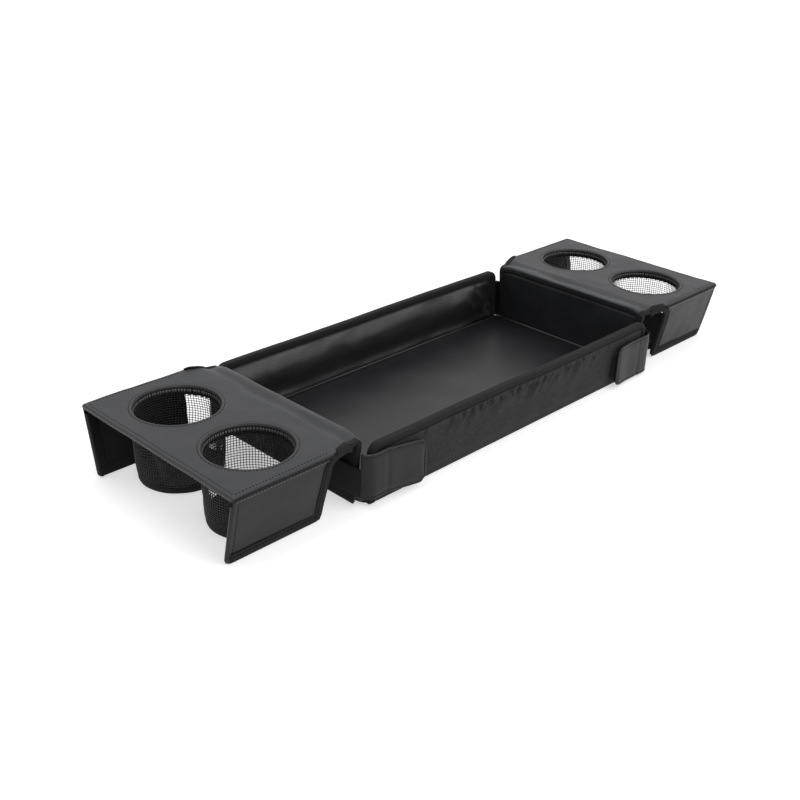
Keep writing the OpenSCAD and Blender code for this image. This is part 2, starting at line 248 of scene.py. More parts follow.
def attribute(where, name):
    """A value that the mesh carries at its points."""
    return where.node("ShaderNodeAttribute", {"attribute_name": name}, output="Fac")


def pattern_uv(where):
    """Place on the flat pattern, in millimetres along the weave and across it."""
    spots = where.node("ShaderNodeTexCoord", output="UV")
    axes = spots.node("ShaderNodeSeparateXYZ", {}, {0: spots})
    return axes.part("X") * (1 / MM), axes.part("Y") * (1 / MM)


# %% [markdown]
# Leather is a pebbled skin: rounded cells about a millimetre across with fine creases between them. A
# smooth Voronoi pattern gives the pebbles and a little noise breaks them up. Large soft clouds vary the
# tone and the gloss, and a value that the mesh carries at its folds and edges makes those places paler and
# smoother: wear, as handling does, and on the flaps' head fold and the tabs' edges also painted highlight.


# %% Leather
def leather(name, colour, grain=1.1, depth=0.10, roughness=0.5, specular=0.5, wear_and_highlight_gain=1.7):
    material, shader, where = start_material(name, roughness, specular)
    sockets = {"Vector": where, "Scale": 1 / (grain * MM), "Smoothness": 0.5}
    pebbles = where.node("ShaderNodeTexVoronoi", {"feature": "SMOOTH_F1"}, sockets)
    creases = clouds(where, grain * 0.6, detail=3)
    broad = clouds(where, 45, detail=3)
    patches = clouds(where, 9, detail=4, rough=0.6)
    rub = attribute(where, "rub")
    wear_and_highlight = (rub * (0.45 + 1.1 * patches)).at_most(1.0)
    tone = 0.35 + 0.5 * (broad - 0.5) + 0.35 * (patches - 0.5) + 0.25 * (pebbles - 0.4)
    unworn = tint(tone, shade(colour, 0.8), shade(colour, 1.35))
    feed(shader, "Base Color", tint(wear_and_highlight, unworn, shade(colour, wear_and_highlight_gain)))
    gloss = roughness + 0.10 * (patches - 0.5) + 0.12 * (broad - 0.5) - 0.08 * wear_and_highlight
    feed(shader, "Roughness", gloss)
    raise_by(shader, pebbles * 0.7 + creases * 0.5 + patches * 0.9, depth)
    return material


# %% [markdown]
# Woven cloth crosses one set of threads over another. The product of two sine waves, one for each direction
# of the flat pattern, is high where a warp thread lies on top and low where a weft thread does. Noise makes
# the threads uneven. The same function serves the cover, the lining and the straps, with other thread
# sizes.


# %% Woven cloth and tape
def weave(name, colour, thread=0.9, depth=0.16, roughness=0.8, specular=0.3, speckle=0.5):
    material, shader, where = start_material(name, roughness, specular)
    along, across = pattern_uv(where)
    slub = clouds(where, 7, detail=3)
    turn = math.pi / thread
    crossing = (along * turn + slub * 1.5).sine() * (across * turn + slub * 1.5).sine()
    over = 0.5 + 0.5 * crossing
    fuzz = clouds(where, 0.9, detail=2)
    broad = clouds(where, 30, detail=3)
    mottle = clouds(where, 2.6, detail=2)
    level = over * 0.2 + (fuzz + mottle * 1.6 - 0.8) * speckle + (broad - 0.5) * 0.4
    # The mesh's value makes the cloth paler; on the wall covers it goes below zero in the pits, as painted shade.
    level += attribute(where, "rub") * 0.4
    feed(shader, "Base Color", tint(level, shade(colour, 0.35), shade(colour, 2.0)))
    feed(shader, "Roughness", roughness + 0.12 * (fuzz - 0.5))
    raise_by(shader, over * 0.6 + fuzz * 0.6, depth)
    return material


def ribbed_tape(name, colour, rib=1.3, depth=0.22, roughness=0.82):
    material, shader, where = start_material(name, roughness, specular=0.2)
    along, across = pattern_uv(where)
    wander = clouds(where, 5, detail=2)
    ribs = 0.5 + 0.5 * (along * (2 * math.pi / rib) + wander * 2.0).sine()
    threads = 0.5 + 0.5 * (across * (2 * math.pi / (rib * 0.6))).sine()
    fuzz = clouds(where, 0.8, detail=2)
    level = ribs * 0.35 + threads * 0.15 + fuzz * 0.4 + attribute(where, "rub") * 0.5
    feed(shader, "Base Color", tint(level, shade(colour, 0.55), shade(colour, 1.6)))
    feed(shader, "Roughness", roughness + 0.15 * (fuzz - 0.5))
    raise_by(shader, ribs * 0.7 + threads * 0.3 + fuzz * 0.4, depth)
    return material


# %% [markdown]
# Small finishes: coated mesh threads, sewing thread with its twist, the fuzzy pile of the hook and loop
# patches, and the grey board inside the walls, which only shows if the model is taken apart.


# %% Threads, pile and board
def plain_thread(name, colour, roughness, specular=0.45, twist=0.8):
    material, shader, where = start_material(name, roughness, specular)
    axes = where.node("ShaderNodeSeparateXYZ", {}, {0: where})
    slant = (axes.part("X") + axes.part("Y") + axes.part("Z")) * (2 * math.pi / (twist * MM))
    strands = 0.5 + 0.5 * slant.sine()
    fuzz = clouds(where, 1.5)
    feed(shader, "Base Color", tint(strands * 0.4 + fuzz * 0.5, shade(colour, 0.6), shade(colour, 1.5)))
    feed(shader, "Roughness", roughness + 0.2 * (fuzz - 0.5))
    raise_by(shader, strands, 0.06)
    return material


def pile(name, colour):
    material, shader, where = start_material(name, roughness=0.95, specular=0.15)
    shader.inputs["Sheen Weight"].default_value = 0.25
    shader.inputs["Sheen Roughness"].default_value = 0.5
    tuft = 0.9 * MM
    tufts = where.node("ShaderNodeTexVoronoi", {"feature": "F1"}, {"Vector": where, "Scale": 1 / tuft})
    fuzz = clouds(where, 0.5, detail=3)
    feed(shader, "Base Color", tint(tufts * 0.7 + fuzz * 0.4, shade(colour, 0.5), shade(colour, 1.8)))
    feed(shader, "Roughness", 0.85 + 0.15 * fuzz)
    raise_by(shader, tufts + fuzz, 0.35)
    return material


def grey_board(name, colour):
    material, shader, where = start_material(name, roughness=0.85, specular=0.3)
    fibres = clouds(where, 2.5, detail=6, rough=0.7)
    feed(shader, "Base Color", tint(fibres, shade(colour, 0.7), shade(colour, 1.3)))
    feed(shader, "Roughness", 0.75 + 0.2 * fibres)
    raise_by(shader, fibres, 0.15)
    return material


# %% [markdown]
# Each finish is made once, under the name that its pieces use, and the colours are the linear values of the
# real goods: all of them nearly black. The CAD parts get their finishes too, because the boards stay in the
# model.


# %% The finishes
finish = {
    "saddle_leather": leather("saddle_leather", (0.018, 0.019, 0.021), 0.9, 0.11, 0.43, specular=0.3),
    "tray_leather": leather("tray_leather", (0.0085, 0.0085, 0.0095), 1.3, 0.25, 0.44, specular=0.5),
    "flap_leather": leather("flap_leather", (0.009, 0.009, 0.0095), 0.9, 0.08, 0.42, specular=0.25),
    "tab_leather": leather("tab_leather", (0.009, 0.009, 0.0095), 0.9, 0.08, 0.42, specular=0.25),
    "oxford_cloth": weave("oxford_cloth", (0.017, 0.017, 0.018), depth=0.25, speckle=0.8),
    "dark_lining": weave("dark_lining", (0.006, 0.006, 0.0065), thread=0.6, depth=0.08, speckle=0.3),
    "edge_tape": ribbed_tape("edge_tape", (0.0115, 0.0115, 0.012)),
    "strap_webbing": weave("strap_webbing", (0.006, 0.006, 0.0065), thread=1.5, depth=0.3),
    "black_mesh": plain_thread("black_mesh", (0.018, 0.018, 0.018), 0.34),
    "stiffener_board": grey_board("stiffener_board", (0.12, 0.11, 0.10)),
    "hook_and_loop": pile("hook_and_loop", (0.010, 0.010, 0.010)),
    "thread": plain_thread("thread", (0.004, 0.004, 0.004), 0.7, specular=0.05),
    "pale_thread": plain_thread("pale_thread", (0.10, 0.10, 0.10), 0.45),
}
for item in frame["record"]["subparts"]:
    node = frame["nodes"][item["node"]]
    node.data.materials.clear()
    node.data.materials.append(finish[item["material_slot"]])
print(len(finish), "finishes")

# %% [markdown]
# ## Sizes read from the frame
# The dressed pieces lie where the CAD pieces lie, so their places come from the boxes of the CAD nodes and
# from the joints. Only what the frame can't say, such as the width of a tape or the depth of a stitch, is a
# value here. One quarter is worked out, at the right and the back, and the other three are its mirror
# images.


# %% Read the sizes
def span(node):
    """The low and the high corner of a CAD node, in millimetres."""
    low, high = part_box(node)
    return [c / MM for c in low], [c / MM for c in high]


pivot = {j["name"]: Vector(j.get("pos_m") or (0, 0, 0)) / MM for j in frame["joints"]}
mounts = {m["name"]: m for m in frame["record"]["mounts"]}
tape_t, tape_width = 0.9, 9.0
skin_t, lining_t = 1.2, 0.8
cover_low, cover_high = span("right_saddle_cover")
liner_low, liner_high = span("right_end_liner")
saddle_in, saddle_out = cover_low[0], cover_high[0]
saddle_foot, saddle_top = cover_low[2], cover_high[2]
saddle_half = cover_high[1]
crease_r = (liner_high[0] - liner_low[0]) / 2
crease_x, crease_z = liner_low[0] + crease_r, liner_high[2] - crease_r
neck_half, foot_half = liner_high[1], 110.0
panel_in = span("right_end_bindings")[0][0] + tape_t
panel_out = span("right_end_bindings")[1][0] - tape_t
slot_out = span("right_back_flap_panel")[0][0]
cup_r = mounts["right_back_cup_opening"]["dims"]["r_mm"]
cup_x, cup_y = (c / MM for c in mounts["right_back_cup_opening"]["pos_m"][:2])
floor_top = span("floor_liner")[1][2]
flap_hinge = pivot["right_back_flap_swing"]
wall_pivot = pivot["back_wall_fold"]
print("saddle from", saddle_in, "to", saddle_out, "half as wide as", saddle_half, "top at", saddle_top)
print("crease at", crease_x, crease_z, "with a radius of", crease_r)

# %% [markdown]
# ## From flat pattern to folded piece
# Soft goods are cut flat, then folded and sewn, and the meshes here are made the same way. `cut` fills an
# outline with points, on a grid and in rings round the holes, and joins them by a Delaunay triangulation.
# `sew` then sends each point of the pattern to its place in space. Folds, valleys and wrinkles are all in
# that one place function, built from soft steps and bumps, so stitches and tapes can ask it where the
# surface is, and always lie on it.


# %% Arcs, steps and small curves
def clamp(t):
    return min(1.0, max(0.0, t))


def ease(t):
    """A soft step from 0 to 1, as t goes from 0 to 1."""
    t = clamp(t)
    return t * t * (3 - 2 * t)


def dip(distance, width):
    """A round bump: 1 where the distance is 0, and almost nothing past twice the width."""
    return math.exp(-((distance / width) ** 2))


def drift(x, y, z, size):
    """Smooth noise from -1 to 1 that changes over about size millimetres."""
    return noise.noise(Vector((x, y, z)) / size)


def arc(cx, cy, r, start, stop, steps=6):
    turns = [math.radians(start + (stop - start) * i / steps) for i in range(steps + 1)]
    return [(cx + r * math.cos(t), cy + r * math.sin(t)) for t in turns]


def rectangle(half_x, half_y, r, steps=4):
    """A rectangle round the middle with rounded corners, anticlockwise."""
    outline = []
    for sx, sy, start in ((1, -1, -90), (1, 1, 0), (-1, 1, 90), (-1, -1, 180)):
        outline += arc(sx * (half_x - r), sy * (half_y - r), r, start, start + 90, steps)
    return outline


def spread(start, stop, step):
    """Values from start to stop, about one step apart."""
    count = max(1, round(abs(stop - start) / step))
    return [start + (stop - start) * i / count for i in range(count + 1)]


def densify(loop, step):
    dense = []
    for (ax, ay), (bx, by) in zip(loop, loop[1:] + loop[:1]):
        count = max(1, math.ceil(math.hypot(bx - ax, by - ay) / step))
        dense += [(ax + (bx - ax) * i / count, ay + (by - ay) * i / count) for i in range(count)]
    return dense


print("a soft step:", [round(ease(t), 2) for t in spread(0, 1, 0.25)])

# %% [markdown]
# Two things have to be known of an outline: how far inside it a point lies, and where the same outline is
# when it is drawn a little smaller. Both are needed to place points in neat rows beside a cut edge.


# %% Inside an outline
def depth_inside(points, loop):
    """Distance of each point from a closed outline, negative outside it."""
    p = np.array(points, float)[:, None, :]
    a = np.array(loop, float)
    b = np.roll(a, -1, axis=0)
    ab = b - a
    t = np.clip(((p - a) * ab).sum(2) / (ab * ab).sum(1), 0, 1)
    gap = np.linalg.norm(p - (a + t[..., None] * ab), axis=2).min(1)
    rise = np.where(ab[:, 1] == 0, 1e-12, ab[:, 1])
    meets = a[:, 0] + ab[:, 0] * (p[..., 1] - a[:, 1]) / rise
    crossed = ((a[:, 1] > p[..., 1]) != (b[:, 1] > p[..., 1])) & (p[..., 0] < meets)
    return np.where(crossed.sum(1) % 2 == 1, gap, -gap)


def inset_ring(loop, distance):
    """The outline again, a distance further in."""
    ring = []
    for before, here, after in zip(loop[-1:] + loop[:-1], loop, loop[1:] + loop[:1]):
        along = Vector((after[0] - before[0], after[1] - before[1])).normalized()
        ring.append((here[0] - along.y * distance, here[1] + along.x * distance))
    return ring


square = rectangle(10, 10, 2)
print("the middle of a square is", depth_inside([(0, 0)], square)[0], "mm deep")

# %% [markdown]
# Now the cutting itself. The triangulation joins whatever points it is given, so the pattern is decided by
# them: close rows beside an edge or a hole that will be rolled over, wide rows where the leather stays
# flat. Triangles are joined in pairs afterwards, because four-cornered faces bend in clean rows.


# %% Cutting a pattern
RING_STEPS = 112
hole_margin, row_margin = 1.2, 0.9


def cut(outline, us, vs, rounds=(), edge_step=3.0, borders=(1.2,)):
    """A flat pattern, as points and faces. The outline runs anticlockwise. A round is (u, v, radii)."""
    loop = densify(outline, edge_step)
    points, seams = list(loop), [(i, (i + 1) % len(loop)) for i in range(len(loop))]
    for border in borders:
        ring = inset_ring(loop, border)
        points += [p for p, d in zip(ring, depth_inside(ring, loop)) if d > border * 0.8]
    for u, v, radii in rounds:
        start = len(points)
        for radius in radii:
            points += arc(u, v, radius, 0, 360, RING_STEPS)[:-1]
        seams += [(start + i, start + (i + 1) % RING_STEPS) for i in range(RING_STEPS)]
    grid = [(u, v) for u in us for v in vs]
    depths = depth_inside(grid, loop)
    clear = max(borders, default=0) + row_margin
    for (u, v), depth in zip(grid, depths):
        outside = all(math.hypot(u - hu, v - hv) > radii[-1] + hole_margin for hu, hv, radii in rounds)
        if depth > clear and outside:
            points.append((u, v))
    flat, _, faces, *_ = delaunay_2d_cdt([Vector(p) for p in points], seams, [], 0, 1e-5)
    middles = [sum((flat[i] for i in face), Vector((0, 0))) / len(face) for face in faces]
    inside = depth_inside(middles, loop)
    kept = []
    for face, middle, depth in zip(faces, middles, inside):
        in_hole = any(math.hypot(middle.x - hu, middle.y - hv) < radii[0] for hu, hv, radii in rounds)
        if depth > 0 and not in_hole:
            kept.append(face)
    return as_quads(flat, kept)


def as_quads(flat, faces):
    """Joins pairs of triangles, so that the mesh bends in clean rows."""
    bm = bmesh.new()
    verts = [bm.verts.new((p.x, p.y, 0)) for p in flat]
    for face in faces:
        bm.faces.new([verts[i] for i in face])
    bmesh.ops.delete(bm, geom=[v for v in bm.verts if not v.link_faces], context="VERTS")
    bmesh.ops.join_triangles(
        bm,
        faces=bm.faces,
        angle_face_threshold=math.radians(10),
        angle_shape_threshold=math.radians(50),
    )
    bm.verts.index_update()
    points = [(v.co.x, v.co.y) for v in bm.verts]
    joined = []
    for face in bm.faces:
        corners = [v.index for v in face.verts]
        joined.append(corners if face.normal.z > 0 else corners[::-1])
    bm.free()
    return points, joined


sample = cut(square, spread(-8, 8, 4), spread(-8, 8, 4))
print("the square cut as a pattern:", len(sample[0]), "points and", len(sample[1]), "faces")

# %% [markdown]
# Every mesh is made here. Only one quarter of the tray is ever worked out, so each point can be mirrored to
# another end or side on its way, and the faces are turned round where that would show their backs. The flat
# pattern is kept as the UV map, so that a woven finish runs along the cloth. A sheet gets its thickness
# from a Solidify modifier.


# %% Making a mesh
def add_object(name, verts, faces, materials, uvs=None, wear_and_painted_lights=None, sharp=40):
    mesh = bpy.data.meshes.new(name)
    mesh.from_pydata([tuple(c * MM for c in v) for v in verts], [], faces)
    for material in materials:
        mesh.materials.append(material)
    if uvs is not None:
        layer = mesh.uv_layers.new(name="pattern")
        for loop in mesh.loops:
            u, v = uvs[loop.vertex_index]
            layer.data[loop.index].uv = (u * MM, v * MM)
    if wear_and_painted_lights is not None:
        mesh.attributes.new("rub", "FLOAT", "POINT").data.foreach_set("value", wear_and_painted_lights)
    mesh.shade_smooth()
    mesh.set_sharp_from_angle(angle=math.radians(sharp))
    mesh.validate()
    made = bpy.data.objects.new(name, mesh)
    bpy.context.scene.collection.objects.link(made)
    return made


def mirrored(point, end, side):
    """The same place on another end (-1 is left) and side (-1 is front) of the tray."""
    return Vector((point[0] * end, point[1] * side, point[2]))


def thicken(made, thickness):
    """Gives a sheet its thickness, on the side away from its faces."""
    solid = made.modifiers.new("thickness", "SOLIDIFY")
    solid.thickness = thickness * MM
    solid.offset = -1
    return made


def sew(name, pattern, place, material, end=1, side=1, inward=False, rub=None):
    """Folds a pattern: place(u, v) says where its points go, the last argument how pale, from wear and painted
    light.
    """
    points, faces = pattern
    verts = [mirrored(place(u, v), end, side) for u, v in points]
    if (end * side < 0) != inward:
        faces = [face[::-1] for face in faces]
    wear_and_painted_lights = [rub(u, v) for u, v in points] if rub else None
    return add_object(name, verts, faces, [material], points, wear_and_painted_lights)


def surface_at(place, u, v, step=0.4):
    """The point of a folded surface, and the direction out of its face there."""
    here = place(u, v)
    along = (place(u + step, v) - place(u - step, v)).normalized()
    across = (place(u, v + step) - place(u, v - step)).normalized()
    return here, along.cross(across).normalized()


# %% [markdown]
# Tapes and piping are long and have the same section all the way, so they are swept: the section is set
# down at each station of a path, and neighbouring sections are joined.


# %% Sweeping a section
def face_out(made, weld=False):
    """Turns the faces of a closed mesh to the outside, and joins points that coincide if asked to."""
    bm = bmesh.new()
    bm.from_mesh(made.data)
    if weld:
        bmesh.ops.remove_doubles(bm, verts=bm.verts, dist=1e-6)
    bmesh.ops.recalc_face_normals(bm, faces=bm.faces)
    bm.to_mesh(made.data)
    bm.free()


def sweep(name, stations, section, material, end=1, side=1, closed=False, rub=0.3):
    """Carries a closed section along stations of (point, across, out). section(k) gives its points."""
    verts, uvs, length = [], [], 0.0
    for k, (point, across, out) in enumerate(stations):
        length += (point - stations[k - 1][0]).length if k else 0.0
        shape = section(k)
        around = 0.0
        for i, (a, o) in enumerate(shape):
            around += math.hypot(a - shape[i - 1][0], o - shape[i - 1][1]) if i else 0.0
            verts.append(mirrored(point + across * a + out * o, end, side))
            uvs.append((length, around))
    n, rows = len(section(0)), len(stations)
    faces = []
    for k in range(rows if closed else rows - 1):
        for i in range(n):
            j, l = (i + 1) % n, (k + 1) % rows
            faces.append([k * n + i, k * n + j, l * n + j, l * n + i])
    if not closed:
        faces += [list(range(n))[::-1], [(rows - 1) * n + i for i in range(n)]]
    made = add_object(name, verts, faces, [material], uvs, [rub] * len(verts))
    face_out(made)
    return made


# %% [markdown]
# A row of stitches is a row of separate grains of thread. Each is a small spindle: a point at both ends,
# where the thread goes into the leather, and two square rings between them. They are real geometry, because
# stitching catches the light, and a picture of it would lie flat.


# %% Stitches
stitch_pitch, stitch_length, stitch_width = 3.8, 2.6, 1.2
stitch_shoulder = 0.45
stitch_tip_sunk, stitch_middle_up, stitch_flatness = 0.6, 0.1, 0.65


def resample(line, pitch):
    """Points, normals and directions along a line of (point, normal), one pitch apart."""
    found, reach = [], pitch / 2
    for (a, na), (b, nb) in zip(line, line[1:]):
        length = (b - a).length
        while reach < length:
            t = reach / length
            found.append((a.lerp(b, t), na.lerp(nb, t).normalized(), (b - a).normalized()))
            reach += pitch
        reach -= length
    return found


def stitches(name, lines, end=1, side=1, material=None, size=1.0, pitch=stitch_pitch):
    """One grain of thread for each stitch, bowed and half sunk in the surface."""
    verts, faces = [], []
    half, r = stitch_length / 2 * size, stitch_width / 2 * size
    for line in lines:
        for point, normal, along in resample(line, pitch):
            beside = normal.cross(along).normalized()
            base = len(verts)
            grain = [point - along * half - normal * r * stitch_tip_sunk]
            for share in (-stitch_shoulder, stitch_shoulder):
                middle = point + along * half * share + normal * r * stitch_middle_up
                for a, o in ((1, 0), (0, 1), (-1, 0), (0, -1)):
                    grain.append(middle + beside * a * r + normal * o * r * stitch_flatness)
            grain.append(point + along * half - normal * r * stitch_tip_sunk)
            verts += [mirrored(spot, end, side) for spot in grain]
            for i in range(4):
                j = (i + 1) % 4
                faces.append([base, base + 1 + j, base + 1 + i])
                faces.append([base + 1 + i, base + 1 + j, base + 5 + j, base + 5 + i])
                faces.append([base + 9, base + 5 + i, base + 5 + j])
    made = add_object(name, verts, faces, [material or finish["thread"]], sharp=60)
    face_out(made)
    return made


def seam_line(place, spots):
    """A stitching line through spots (u, v) of a pattern, as (point, normal) on the folded surface."""
    return [surface_at(place, u, v) for u, v in spots]


print("a stitch is", stitch_length, "mm long, and they are", stitch_pitch, "mm apart")

# %% [markdown]
# ## The saddle leather
# One piece of leather starts at the tray floor, runs up the end panel, rolls over the crease and becomes
# the top of the saddle, with two turned-in cup openings. It follows the end panel below the crease and the
# saddle above it, so it bends across that fold. The track below is its path seen from the side, and the
# pattern's first coordinate is the length along that track. A valley beside the crease, drooping corners, a
# seam ring round each opening and a faint unevenness are added to the height.


# %% A path that is read by its length
class Track:
    """A path in a plane, read by the length from its start."""

    def __init__(self, points):
        self.points = [Vector(p) for p in points]
        self.marks = [0.0]
        for a, b in zip(self.points, self.points[1:]):
            self.marks.append(self.marks[-1] + (b - a).length)
        self.length = self.marks[-1]

    def at(self, s):
        k = max(i for i, mark in enumerate(self.marks[:-1]) if i == 0 or mark <= s)
        step = self.points[k + 1] - self.points[k]
        return self.points[k] + step.normalized() * (s - self.marks[k])

    def out(self, s):
        """The direction to the left of the path."""
        step = self.at(s + 0.5) - self.at(s - 0.5)
        return Vector((-step.y, step.x)).normalized()


# %% [markdown]
# The saddle's track is seen from the front: up the end panel, round the crease and along the flat top. At
# the outer edges the leather rolls over and hangs down, and at the far edge its hem turns in underneath.


# %% The saddle's track and its edges
edge_r, hem_turn = 2.2, 8.0
crease_steps = 7
hem_low, skirt_low = saddle_foot - 0.3, saddle_foot + 1.4
edge_x, edge_y = saddle_out - edge_r, saddle_half - edge_r
saddle_track = Track(
    [(panel_in, floor_top - 0.4), (panel_in, crease_z)]
    + arc(crease_x, crease_z, crease_x - panel_in, 180, 90, crease_steps)[1:]
    + [(saddle_out + 40, crease_z + crease_x - panel_in)]
)
s_roll, s_top = saddle_track.marks[1], saddle_track.marks[1 + crease_steps]
quarter = edge_r * math.pi / 2
straight = saddle_top - hem_low - 2 * edge_r
skirt = quarter + saddle_top - edge_r - skirt_low


def s_of_x(x):
    """Length along the track where the flat top is at x."""
    return s_top + x - crease_x


def fall(r):
    """How far out and down the leather is, at a length r past the line where it rolls over an edge."""
    if r <= 0:
        return 0.0, 0.0
    if r < quarter:
        return edge_r * math.sin(r / edge_r), edge_r * (1 - math.cos(r / edge_r))
    if r < quarter + straight:
        return edge_r, edge_r + r - quarter
    turn = min((r - quarter - straight) / edge_r, math.pi / 2)
    under = max(0.0, r - 2 * quarter - straight)
    return edge_r * math.cos(turn) - under, edge_r + straight + edge_r * math.sin(turn)


print("the crease starts", round(s_roll, 1), "mm up the leather and ends at", round(s_top, 1))

# %% [markdown]
# On the real saddle nothing is quite flat. A shallow valley lies beside the crease, the corners at the rail
# slot hang, a seam is sunk round each opening, and two lines run along the hem. Each is one term in the
# height of the leather.


# %% Heights of the leather
valley_depth, valley_length = 1.8, 18.7
droop_depth, droop_length, droop_start = 4.6, 21, 92
seam_ring, seam_depth = 3.5, 0.55
hem_seam, hem_edge, side_seam, crease_seam = 4.4, 2.4, 2.2, 6.5
saddle_rise = crease_z + crease_x - panel_in


def corner_droop(x, y):
    from_crease = 1 - ease((x - crease_x - 2) / droop_length)
    return droop_depth * from_crease * ease((abs(y) - droop_start) / 30) ** 1.4


def saddle_height(x, y, end):
    share = (x - saddle_in) / valley_length
    valley = 0.0
    if 0 < share < 1:
        uneven = 1 + 0.5 * drift(end * x, y, 0, 45)
        valley = valley_depth * (1 - math.cos(2 * math.pi * share)) / 2 * uneven
    h = -valley - corner_droop(x, y)
    h += 0.9 * drift(end * x, y, 3, 55) + 0.35 * drift(end * x, y, 9, 19)
    fades, starts = 1 - ease((x - crease_x - 10) / 24), ease((x - crease_x) / 6)
    h += 1.1 * drift(end * x * 1.3, y * 0.22, 13, 11) * fades * starts
    for s in (-1, 1):
        from_hole = math.hypot(x - cup_x, y - s * cup_y) - cup_r
        h += 0.45 * ease(from_hole / 1.2) * (1 - ease((from_hole - 2.4) / 3.0))
        h -= seam_depth * dip(from_hole - seam_ring, 0.75)
    from_hem = saddle_out - x
    h -= 0.45 * dip(from_hem - hem_seam, 0.8) + 0.3 * dip(from_hem - hem_edge, 0.6)
    return h


def end_wall_height(z, y, end):
    """Height of the leather off the end panel, with a seam line under the crease."""
    x = end * 240
    h = 1.3 * drift(x, y, z, 38) + 0.6 * drift(x, y * 0.7, z, 15)
    h *= ease((crease_z - z) / 20) * ease((z - floor_top) / 8)
    h -= 0.7 * dip(z - (crease_z - crease_seam), 1.2)
    return h


print("the corners hang by up to", droop_depth, "mm")

# %% [markdown]
# The place function puts it all together. It takes a length along the track and a place across it, follows
# the track up to the edge lines, and rolls whatever lies past them over the edge. Near an opening it rolls
# the rim down instead.


# %% Folding the saddle leather
rim_r = 1.6
hang_start = 22


def on_saddle(end):
    def place(s, t):
        a, b = s - s_of_x(edge_x), abs(t) - edge_y
        flat_s, flat_t = s - max(0.0, a), math.copysign(abs(t) - max(0.0, b), t)
        spot, out = saddle_track.at(flat_s), saddle_track.out(flat_s)
        share = ease((flat_s - s_roll) / (s_top - s_roll))
        wall = end_wall_height(spot.y, flat_t, end) if share < 1 else 0.0
        top = saddle_height(spot.x, flat_t, end) + saddle_top - saddle_rise if share > 0 else 0.0
        spot = spot + out * (wall * (1 - share) + top * share)
        x, y, z = spot.x, flat_t, spot.y
        z -= corner_droop(crease_x, y) * ease((flat_s - s_roll + hang_start) / hang_start) * (1 - share)
        for side in (-1, 1):
            x, y, z = into_opening(x, y, z, side)
        reach = math.hypot(max(a, 0.0), max(b, 0.0))
        if reach > 0:
            sideways, down = fall(reach)
            x += sideways * max(a, 0.0) / reach
            y += math.copysign(sideways * max(b, 0.0) / reach, t)
            z -= down
        return Vector((x, y, z))

    return place


def into_opening(x, y, z, side):
    """Rolls the rim of a cup opening down into it."""
    dx, dy = x - cup_x, y - side * cup_y
    from_axis = math.hypot(dx, dy)
    r = cup_r + rim_r - from_axis
    if r <= 0 or from_axis < 1:
        return x, y, z
    turn = min(r / rim_r, math.pi / 2)
    inward = cup_r + rim_r - rim_r * math.sin(turn)
    down = rim_r * (1 - math.cos(turn)) + max(0.0, r - rim_r * math.pi / 2)
    return cup_x + dx / from_axis * inward, side * cup_y + dy / from_axis * inward, z - down


print("the crease stands at", [round(c, 1) for c in on_saddle(1)(s_top, 0)])

# %% [markdown]
# The leather is cut narrow at the foot of the end panel, widens a little to the crease, flares along the
# neck and is full width over the cups. Rows of points are close together at the crease, the rims and the
# edges, where it bends.


# %% Cutting the saddle leather
def half_width(s):
    if s < s_roll:
        return foot_half + (neck_half - foot_half) * s / s_roll
    return neck_half - 1 + (saddle_half - neck_half + 1) * clamp((s - s_top) / (s_of_x(slot_out) - s_top))


def saddle_outline():
    side = [(s, half_width(s)) for s in spread(0, s_of_x(slot_out), 6)]
    s_edge = s_of_x(edge_x)
    side += [(s_of_x(slot_out) + 0.3, edge_y + skirt)]
    side += arc(s_edge, edge_y, skirt, 90, 40, 4)
    side += [(s_edge + skirt * 0.95, edge_y - 0.5), (s_edge + hem_length, edge_y - 3)]
    return [(s, -t) for s, t in side] + side[::-1]


hem_length = 2 * quarter + straight + hem_turn
rim_rings = [43.4, 43.9, 44.3, 44.8, 45.4, 46.0, 46.6, 47.3, 48.0, 48.5, 49.0, 49.8, 51.0, 53.0, 56.0]
saddle_rounds = [(s_of_x(cup_x), s * cup_y, rim_rings) for s in (-1, 1)]
s_rows = spread(0, s_roll - 12, 5) + spread(s_roll - 10, s_roll - 1, 1.3)
s_rows += spread(s_roll, s_top, 0.8) + spread(s_top + 1.2, s_of_x(saddle_in + 22), 1.7)
s_rows += spread(s_of_x(saddle_in + 24), s_of_x(edge_x - 8), 3.4)
s_rows += spread(s_of_x(edge_x - 7), s_of_x(edge_x), 0.8)
s_rows += spread(s_of_x(edge_x) + 0.7, s_of_x(edge_x) + hem_length, 0.75)
t_rows = spread(-edge_y + 4, edge_y - 4, 4.0)
t_rows += [s * (edge_y + d) for s in (-1, 1) for d in (-2.6, -1.2, 0, 0.8, 1.6, 2.4, 3.3, 4.4, 5.4)]
saddle_pattern = cut(saddle_outline(), s_rows, sorted(t_rows), saddle_rounds, borders=(0.8,))
print("saddle pattern", len(saddle_pattern[0]), "points")

# %% [markdown]
# A piece of leather that crosses a fold can't ride one body, and here it rides none: it isn't blended from
# the end panel to the saddle, so it doesn't bend with the joint. The stitches on the saddle ride the saddle
# alone.


# %% Sewing the saddle leather
def saddle_rub(s, t):
    """Wear on the folded crease, round the openings and along the hem."""
    wear = 0.8 * dip(s - s_top, 3.5) + 0.5 * dip(s - s_of_x(edge_x) - 1.5, 2.5)
    wear += 0.5 * dip(abs(t) - edge_y - 1.5, 2.0)
    for side in (-1, 1):
        from_hole = math.hypot(s - s_of_x(cup_x), t - side * cup_y) - cup_r
        wear += 0.6 * dip(from_hole - 0.8, 1.3)
    return min(1.0, wear)


crease_start, crease_end = (crease_x - 1.8, 0, crease_z - 3.4), (crease_x + 3.7, 0, crease_z + 2.1)


def across_crease(made, end):
    """Bakes a piece's placement into its mesh; it doesn't bend it between the end panel and the saddle."""
    start, stop = (mirrored(p, end, 1) * MM for p in (crease_start, crease_end))
    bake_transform(made)


